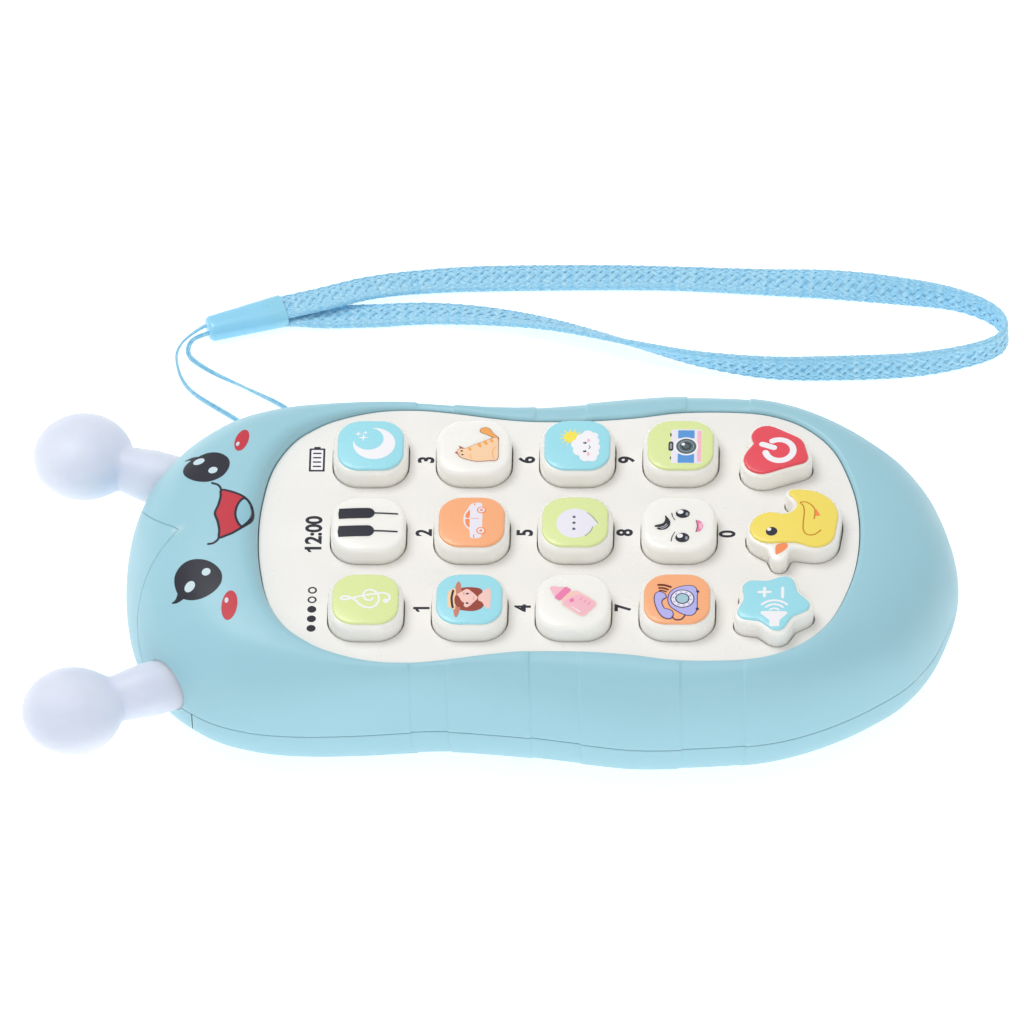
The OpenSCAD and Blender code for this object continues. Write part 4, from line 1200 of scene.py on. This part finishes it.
def star_art():
    horn = [(-6.1, 0.35), (-4.7, 0.45), (-3.1, 2.1), (-2.65, 1.9), (-2.65, -2.6), (-3.1, -2.85), (-4.7, -1.45),
        (-6.1, -1.35)]
    art = [("white", horn)]
    for radius, width in ((1.0, 0.36), (1.95, 0.42), (2.9, 0.46)):
        art.append(("white", stroke(ellipse((-3.0, -0.45), radius, radius * 1.05, n=14, start=-48, end=48), width,
            curved=False)))
    return art + [("white", dash((0.95, 1.4), (3.05, 1.4), 0.55)), ("white", dash((2.0, 0.35), (2.0, 2.45), 0.55)),
        ("white", dash((0.7, -1.9), (3.1, -1.9), 0.55))]


def print_key(name, at, art, top, key=None):
    """Drawing on a key's domed top."""
    make_print("print_" + name, art(), lambda p: upright(p, at), lambda x, y: dome(x, y, at, top),
        "key_" + (key or name))


def make_square_keys():
    """Twelve rounded-square keys: name, column, row, skin colour or None, drawing."""
    for name, column, row, tint, art in (("music", 0, -1, "green", music_art), ("girl", 1, -1, "cyan", girl_art),
            ("bottle", 2, -1, None, bottle_art), ("telephone", 3, -1, "orange", telephone_art),
            ("piano", 0, 0, None, piano_art), ("car", 1, 0, "orange", car_art),
            ("message", 2, 0, "green", message_art), ("baby", 3, 0, None, baby_art), ("moon", 0, 1, "cyan", moon_art),
            ("cat", 1, 1, None, cat_art), ("weather", 2, 1, "cyan", weather_art),
            ("camera", 3, 1, "green", camera_art)):
        at = (KEY_X0 + column * KEY_PITCH, row * ROW_PITCH)
        make_key(name, at, SQUARE, 0.75)
        if tint:
            make_skin(name, at, SQUARE, SQUARE_BORDER, tint, "film_" + name)
        print_key(name, at, art, KEY_TOP_Z if tint else KEY_TOP_Z - SKIN_T)


def make_shaped_keys():
    for (name, at, base, cap), tint, slot, art in zip(SHAPED, ("red", "yellow", "cyan"),
            ("cap_red", "cap_yellow", "film_cyan"), (heart_art, duck_art, star_art)):
        make_key(name, at, base, 0.6, 0.55)
        make_skin(name, at, cap, 0.0, tint, "cap_" + name, 0.32)
        print_key(name, at, art, KEY_TOP_Z)
        if name == "duck":
            print_key("beak", at, beak_art, KEY_TOP_Z - SKIN_T, name)


make_square_keys()
make_shaped_keys()


# ---------------- face plate and its printing
def plate_loop(inset):
    out = []
    for t in np.arange(0, 40, 0.2):
        _, p, d = frame_at(float(t))
        out.append(tuple(p - inset * d))
    return out


def hole_loops(grow):
    loops = [[upright(p, (KEY_X0 + c * KEY_PITCH, r * ROW_PITCH)) for p in belt(SQUARE,
        KEY_GAP + grow)] for c in range(4) for r in (-1, 0, 1)]
    return loops + [[upright(p, at) for p in belt(base, KEY_GAP + grow)] for _, at, base, _ in SHAPED]


PLATE_BOSSES = [(-12.9, 9.45), (-12.9, -9.45), (24.9, 9.45), (24.9, -9.45)]      # screw posts under the plate


def make_plate():
    """Face plate with softly rounded edges at its outline and round every key."""
    edge, gap = 0.12, 0.16
    verts, faces = [], []
    levels = [(0.0, PLATE_Z - PLATE_T)]
    for a in (0, 30, 60, 90):
        c, s = circle(a)
        levels.append((edge * (1 - c), PLATE_Z - edge * (1 - s)))
    loops = [[plate_loop(gap + inset)] + hole_loops(inset) for inset, _ in levels]
    for k in range(len(loops[0])):
        first = len(verts)
        for (inset, z), level in zip(levels, loops):
            verts += [(x, y, z) for x, y in level[k]]
        faces += grid_faces(len(levels), len(loops[0][k]), first)
    for level, z in ((loops[0], levels[0][1]), (loops[-1], levels[-1][1])):
        add_sheet(verts, faces, level, 0, lambda x, y: z)
    obj = link_mesh("plate", verts, faces)
    tidy(obj, 0.003)
    for x, y in PLATE_BOSSES:
        boolean(obj, [cylinder(2.2, (x, y, 19.6), (x, y, PLATE_Z - PLATE_T + 0.4))], "UNION")
        boolean(obj, [cylinder(1.0, (x, y, 18), (x, y, 25))])
    finish_piece(obj, PLATE, "phone", ("face_plate",), 35, weighted=True)


def glyph_patch(text, size, squeeze, heavy):
    """Flat patch of the built-in font's numerals, made bolder and narrower."""
    curve = bpy.data.curves.new("glyph", "FONT")
    curve.body, curve.size, curve.offset = text, size, heavy
    curve.align_x, curve.align_y = "CENTER", "CENTER"
    curve.resolution_u = 6
    obj = add_object("glyph", curve)
    mesh = bpy.data.meshes.new_from_object(obj.evaluated_get(bpy.context.evaluated_depsgraph_get()))
    flat = [(v.co.x * squeeze, v.co.y) for v in mesh.vertices]
    faces = [tuple(p.vertices) for p in mesh.polygons]
    bpy.data.objects.remove(obj)
    bpy.data.meshes.remove(mesh)
    return flat, faces


DIGIT_X = (-12.1, 6.3, 24.5, 43.2)
DIGIT_Y = (-17.65, 0.85, 18.8)
STATUS_X = -32.2
STATUS_Y = 0.5           # middle of the clock's numerals and of the 0


def make_plate_print():
    shapes = []
    digit = (4.0, 0.86, 0.13)        # size, squeeze and boldness of the numerals

    def put(patch, x, y):
        flat, faces = patch
        shapes.append(("ink", ([(p[0] + y, p[1] - x) for p in flat], faces)))

    for k in range(9):
        put(glyph_patch(str(k + 1), *digit), DIGIT_X[k // 3], DIGIT_Y[k % 3])
    put(glyph_patch("0", *digit), DIGIT_X[3], STATUS_Y)
    put(glyph_patch("12:00", 4.1, 0.98, 0.13), STATUS_X, STATUS_Y)
    for r, u in ((DIGIT_Y[0], -DIGIT_X[0]), (STATUS_Y - 3.5, -STATUS_X)):    # flags of the two ones
        shapes.append(("ink", [(r - 0.9, u + 0.4), (r, u + 0.9), (r, u + 1.5), (r - 0.9, u + 0.95)]))
    for k in range(5):
        centre = (-22.6 + 2.33 * k, -STATUS_X)
        shapes.append(("ink", ellipse(centre, 0.83, n=28) if k < 3 else ring_patch(centre, 0.67, 0.32)))
    y0, x0 = DIGIT_Y[2], -STATUS_X
    shapes += [("ink", panel(y0 - 2.7, x0 - 1.3, y0 + 2.7, x0 + 1.3, 0.15)),
        ("white", panel(y0 - 2.35, x0 - 0.98, y0 + 2.35, x0 + 0.98, 0.1)),
        ("ink", dash((y0 + 3.0, x0 - 0.4), (y0 + 3.0, x0 + 0.4), 0.42))]
    for k in range(4):
        y = y0 - 1.6 + 1.07 * k
        shapes.append(("ink", dash((y, x0 - 0.62), (y, x0 + 0.62), 0.34)))
    make_print("print_plate", shapes, lambda p: (-p[1], p[0]), lambda x, y: PLATE_Z, "phone", 0)


make_plate()
make_plate_print()

# ---------------- printed face on the head
SHELL_TREE = BVHTree.FromObject(front, bpy.context.evaluated_depsgraph_get())
CAP_TREE = BVHTree.FromObject(head_cap, bpy.context.evaluated_depsgraph_get())


def head_height(x, y):
    """Height of the head's outer surface above a point, in millimetres."""
    best = 0.0
    for tree in (SHELL_TREE, CAP_TREE):
        hit = tree.ray_cast(Vector((x * MM, y * MM, 0.1)), -UP)[0]
        if hit is not None:
            best = max(best, hit.z / MM)
    return best


FACE_X = -47.0           # drawing origin on the head; right is +Y, up is towards the antennae


def make_face():
    left = [(-18.1, 5.4), (-17.7, 7.6), (-16.3, 9.3), (-14.0, 10.2), (-11.6, 10.3), (-9.7, 9.2), (-8.95, 7.3),
        (-9.5, 4.8), (-11.0, 2.8), (-13.0, 1.65), (-15.3, 1.75), (-17.2, 3.2)]
    right = [(17.95, 5.0), (17.5, 7.0), (16.5, 8.9), (14.8, 9.6), (12.8, 9.1), (11.0, 7.6), (10.0, 5.7), (10.0, 3.9),
        (11.1, 2.1), (13.2, 1.05), (15.4, 1.2), (17.2, 2.8)]
    left_lash = [(-14.6, 9.4), (-15.9, 9.75), (-16.7, 10.1), (-17.0, 10.75), (-17.35, 10.2), (-17.4, 9.4),
        (-16.9, 8.3), (-15.6, 8.2)]
    right_lash = [(15.6, 8.3), (16.7, 8.15), (17.35, 8.5), (17.75, 9.4), (17.95, 8.6), (17.85, 7.6), (17.3, 6.6),
        (16.3, 7.0)]
    eyes = [("ink", blob(line)) for line in (left, right, left_lash, right_lash)]
    eyes += [("highlight", ellipse(*spot)) for spot in (((-14.95, 7.45), 1.15, 0.95, -15), ((-12.35, 4.5), 0.85, 0.8),
        ((15.95, 6.7), 0.88, 1.05), ((12.75, 4.0), 0.85))]
    cheeks = [("cheek", ellipse((-20.3, 0.05), 3.2, 1.45, -4)), ("highlight", ellipse((-19.25, 0.6), 0.6, 0.35)),
        ("cheek", ellipse((20.35, -1.05), 3.0, 1.25, -10)), ("highlight", ellipse((19.3, -0.35), 0.6, 0.3, -10))]
    lips = [(-6.0, 2.4), (-4.2, 2.45), (-2.0, 2.85), (0.0, 3.45), (2.0, 2.85), (4.0, 2.45), (5.7, 2.35), (5.3, 0.6),
        (4.4, -1.4), (3.4, -2.9), (2.2, -3.75), (0.4, -4.05), (-1.4, -3.6), (-3.2, -2.3), (-4.7, -0.6), (-5.5, 0.9)]
    tongue = [(-3.3, -2.0), (-2.0, -0.95), (0.0, -0.6), (2.2, -1.1), (3.6, -2.25), (2.6, -3.4), (0.6, -3.9),
        (-1.4, -3.4)]
    mouth = [("ink", grown(blob(lips), 0.26)), ("cheek", grown(blob(lips), -0.24)),
        ("ink", grown(blob(tongue), 0.25)), ("body_blue", grown(blob(tongue), -0.25)),
        ("ink", stroke([(-5.7, 2.45), (-6.6, 2.75), (-7.3, 3.6), (-7.4, 4.6)], 0.42)),
        ("ink", stroke([(5.5, 2.4), (6.4, 2.6), (7.2, 3.2), (7.75, 4.3)], 0.42))]
    mouth = [(colour, [(x + 1.6, y * 0.92 + 0.1) for x, y in line]) for colour, line in mouth]
    make_print("print_face", eyes + cheeks + mouth, lambda p: (FACE_X - p[1], p[0] + 0.8), lambda x,
        y: head_height(x, y) + 0.025, "phone", 0.45)


make_face()


# ---------------- battery door
def make_door():
    door = block((-40, -12.7, 0), (19, 12.7, 1.6))
    door.name = "battery_cover"
    for k in (-1, 1):
        tab = block((-41.8, TAB_Y * k - 2.5, 1.9), (-38.9, TAB_Y * k + 2.5, 3.1))
        post = block((-39.8, TAB_Y * k - 2.5, 1.0), (-38.9, TAB_Y * k + 2.5, 3.0))
        boolean(door, [tab, post], "UNION")
    x = DOOR_SCREW_X
    cuts = [cylinder(2.3, (x, 0, -1), (x, 0, 1)), cylinder(1.2, (x, 0, -1), (x, 0, 3))]
    for x in (2.5 + 2.2 * i for i in range(5)):      # finger grooves
        cuts.append(cylinder(0.55, (x, -5, 0.05), (x, 5, 0.05), 24))
    boolean(door, cuts)
    bevel = door.modifiers.new("edges", "BEVEL")
    bevel.width, bevel.segments, bevel.limit_method = 0.22 * MM, 2, "ANGLE"
    bevel.angle_limit = radians(50)
    apply_modifiers(door)
    finish_piece(door, DOOR, "battery_door", ("battery_door",), 40, weighted=True)


make_door()

# ---------------- lanyard
LOOP_D = 0.0009
STRAP_W = 0.006
STRAP_T = 0.0012
# thin cord, in metres: sleeve, first hole, round the bar inside, second hole, sleeve
LOOP_ROUTE = [(-0.052, 0.0774, 0.0022), (-0.0555, 0.0762, 0.0019), (-0.0595, 0.073, 0.0008),
    (-0.0603, 0.0685, 0.0006), (-0.0577, 0.0616, 0.0006), (-0.0495, 0.0545, 0.0007), (-0.043, 0.048, 0.002),
    (-0.0385, 0.042, 0.0058), (-0.0356, 0.0374, 0.0094), (-0.035, 0.0342, 0.010), (-0.034, 0.0322, 0.010),
    (-0.0315, 0.0315, 0.010), (-0.029, 0.0322, 0.010), (-0.028, 0.0342, 0.010), (-0.0288, 0.038, 0.0092),
    (-0.0315, 0.0435, 0.0056), (-0.035, 0.05, 0.002), (-0.040, 0.057, 0.0007), (-0.047, 0.0618, 0.0006),
    (-0.054, 0.0662, 0.0006), (-0.058, 0.070, 0.0007), (-0.0576, 0.073, 0.0015), (-0.0546, 0.0744, 0.0021),
    (-0.0514, 0.0756, 0.0022)]
# strap, in metres: x, y, roll from lying flat in degrees, lift above the surface
STRAP_ROUTE = [(-0.0435, 0.0792, 0, 0.0022), (-0.040, 0.0803, 0, 0.0022), (-0.034, 0.0822, 0, 0.0021),
    (-0.0244, 0.0857, 0, 0.0016), (-0.014, 0.0882, 4, 0.0003), (-0.002, 0.0889, 10, 0), (0.019, 0.0892, 8, 0),
    (0.033, 0.089, 5, 0), (0.049, 0.0877, 14, 0), (0.060, 0.0863, 35, 0), (0.073, 0.084, 65, 0),
    (0.083, 0.0819, 85, 0), (0.0896, 0.0787, 90, 0), (0.0926, 0.0747, 90, 0), (0.0916, 0.0707, 90, 0),
    (0.086, 0.0678, 92, 0), (0.076, 0.0656, 98, 0), (0.0625, 0.0648, 100, 0), (0.049, 0.0648, 92, 0),
    (0.036, 0.0670, 72, 0), (0.024, 0.0710, 52, 0), (0.010, 0.0760, 34, 0), (-0.002, 0.0790, 16, 0),
    (-0.014, 0.0804, 4, 0), (-0.024, 0.0800, 0, 0), (-0.033, 0.0794, 0, 0.0004), (-0.039, 0.0795, 0, 0.0008),
    (-0.0434, 0.0792, 0, 0.0008)]


def even_route(points, step):
    """The same line with points a step apart, and how far along each lies."""
    seg = np.linalg.norm(np.diff(points[:, :3], axis=0), axis=1)
    far = np.concatenate([[0], np.cumsum(seg)])
    at = np.linspace(0, far[-1], max(2, int(round(far[-1] / step)) + 1))
    return np.stack([np.interp(at, far, points[:, k]) for k in range(points.shape[1])], 1), at


def frames_along(points, roll=None, up=(0.05, 0.02, 1)):
    """Across and upward directions of a tube at each point."""
    t = np.gradient(points[:, :3], axis=0)
    t /= np.linalg.norm(t, axis=1)[:, None]
    u = np.cross(np.array(up, float), t)
    u /= np.linalg.norm(u, axis=1)[:, None]
    v = np.cross(t, u)
    if roll is not None:
        c, s = np.cos(roll)[:, None], np.sin(roll)[:, None]
        u, v = c * u + s * v, c * v - s * u
    return u, v


def strand_mesh(bundles, name):
    """One mesh of many strands. Each bundle is (rings of points, distance along)."""
    verts, faces, uv = [], [], []
    for rings, along in bundles:
        n, first = rings.shape[1], len(verts)
        verts += [tuple(p) for ring in rings for p in ring]
        rows = len(rings)
        for i in range(rows - 1):
            for j in range(n):
                j2 = (j + 1) % n
                faces.append((first + i * n + j, first + i * n + j2, first + (i + 1) * n + j2,
                    first + (i + 1) * n + j))
                uv.append(((j / n, along[i]), ((j + 1) / n, along[i]), ((j + 1) / n, along[i + 1]),
                    (j / n, along[i + 1])))
        for i, order in ((0, -1), (rows - 1, 1)):
            faces.append(tuple(first + i * n + j for j in range(n))[::order])
            uv.append(tuple((0.0, along[i]) for _ in range(n)))
    obj = link_mesh(name, verts, faces, 1.0)
    layer = obj.data.uv_layers.new(name="along")
    layer.data.foreach_set("uv", np.array([c for f in uv for c in f], np.float32).ravel())
    tidy(obj)
    return obj


def make_loop():
    """Two-ply cord: two plies side by side that turn slowly round each other."""
    line, along = even_route(smooth_route(LOOP_ROUTE, 8), 0.00035)
    u, v = frames_along(line)
    ply_r, pitch, sides = LOOP_D * 0.26, 0.05, 10
    bundles = []
    for k in (0, 1):
        turn = 2 * pi * along / pitch + k * pi
        centre = line + ply_r * (np.cos(turn)[:, None] * u + np.sin(turn)[:, None] * v)
        ring = [centre + ply_r * (cos(a) * u + sin(a) * v) for a in np.linspace(0, 2 * pi, sides, False)]
        bundles.append((np.stack(ring, 1), along))
    obj = strand_mesh(bundles, "loop_cord")
    finish_piece(obj, CORD, "phone", ("lanyard_loop",), 60)


def strap_line():
    """Centreline and roll of the strap, from its route and its lift."""
    q = smooth_route(STRAP_ROUTE, 10)
    roll = np.radians(q[:, 2])
    z = q[:, 3] + STRAP_W / 2 * np.abs(np.sin(roll)) + STRAP_T / 2 * np.cos(roll) + 0.00005
    return even_route(np.stack([q[:, 0], q[:, 1], z, roll], 1), 0.00042)


def make_strap():
    """Flat tubular braid: strands wind both ways round a flattened tube and pass over and under each other."""
    line, along = strap_line()
    u, v = frames_along(line, line[:, 3], (0, 0, 1))
    strands, repeat, sides = 10, 0.022, 6
    half_w, half_t = STRAP_W / 2 - 0.0006, STRAP_T / 2 - 0.00036
    strand_w, strand_t, weave = 0.0005, 0.0002, 0.00016      # half-sizes of a strand, and its rise over the others
    bundles = []
    for way in (1, -1):
        for k in range(strands):
            a = way * 2 * pi * along / repeat + k * 2 * pi / strands
            sa, ca = np.sin(a), np.cos(a)
            x = np.sign(ca) * np.abs(ca) ** 0.72 * half_w
            y = np.sign(sa) * np.abs(sa) ** 0.55 * half_t
            lift = way * weave * np.cos(strands * 2 * pi * along / repeat)
            n = np.stack([np.sign(ca) * np.abs(ca) ** 3 * 0.6, np.sign(sa) * np.minimum(1, np.abs(sa) * 2)], 1)
            n /= np.maximum(np.linalg.norm(n, axis=1), 1e-6)[:, None]
            centre = line[:, :3] + u * (x + lift * n[:, 0])[:, None] + v * (y + lift * n[:, 1])[:, None]
            out = u * n[:, :1] + v * n[:, 1:]
            t = np.gradient(centre, axis=0)
            t /= np.linalg.norm(t, axis=1)[:, None]
            side = np.cross(t, out)
            side /= np.maximum(np.linalg.norm(side, axis=1), 1e-9)[:, None]
            out = np.cross(side, t)
            ring = [centre + strand_w * cos(b) * side + strand_t * sin(b) * out for b in np.linspace(0, 2 * pi, sides,
                False)]
            bundles.append((np.stack(ring, 1), along))
    core = [line[:, :3] + cos(b) * (half_w - 0.0003) * u + sin(b) * weave * v for b in np.linspace(0, 2 * pi, 12,
        False)]
    bundles.append((np.stack(core, 1), along))
    obj = strand_mesh(bundles, "strap_braid")
    finish_piece(obj, STRAP, "phone", ("lanyard_strap",), 80)


def make_sleeve():
    """Tapered moulded sleeve: rounded at the cord, open and flattened at the strap."""
    at, turn = Vector((-47.8, 77.6, 2.15)), radians(19)
    ax, cr = Vector((cos(turn), sin(turn), 0)), Vector((-sin(turn), cos(turn), 0))
    rings = []
    half = 7.4

    def ring(s, w, h, n=56, power=2.6):
        out = []
        for i in range(n):
            a = 2 * pi * i / n
            c, d = cos(a), sin(a)
            out.append(at + ax * s + cr * (w * copysign(abs(c) ** (2 / power),
                c)) + UP * (h * copysign(abs(d) ** (2 / power), d)))
        return out

    def size(s):
        k = (s + half) / (2 * half)
        return mix(2.35, 3.4, k), mix(1.95, 2.08, k)

    for a in (4, 15, 30, 45, 60, 75, 90):
        drop = 1.0 * (1 - sin(radians(a)))
        s = -half + 1.0 - 1.0 * cos(radians(a))
        w, h = size(s)
        rings.append(ring(s, w - drop, h - drop))
    for s in np.linspace(-half + 1.6, half - 0.25, 14):
        rings.append(ring(s, *size(s)))
    w, h = size(half)
    for grow, s in ((-0.03, half - 0.1), (-0.12, half - 0.03), (-0.25, half), (-0.42, half), (-0.5, half - 0.08),
            (-0.55, half - 0.5), (-0.7, half - 3)):
        rings.append(ring(s, w + grow, h + grow * 0.8))
    obj = loft("sleeve", rings)
    return finish_piece(obj, SLEEVE, "phone", ("lanyard_sleeve",), 50)


sleeve_piece = make_sleeve()
make_strap()
make_loop()

# ---------------- CAD pieces that stay, with their own materials
for node, material in (("rubber_keypad", RUBBER), ("circuit_board", BOARD), ("sound_chip", BLACK), ("speaker", BLACK),
        ("speaker_wires", RED_WIRE), ("batteries", BATTERY), ("battery_springs", STEEL), ("battery_contacts", STEEL),
        ("battery_wires", BLACK_WIRE), ("board_screws", STEEL), ("case_screws", STEEL),
        ("battery_door_screw", STEEL)):
    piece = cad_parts[node]
    if not piece.material_slots:
        piece.data.materials.append(material)
    for s in piece.material_slots:
        s.material = material
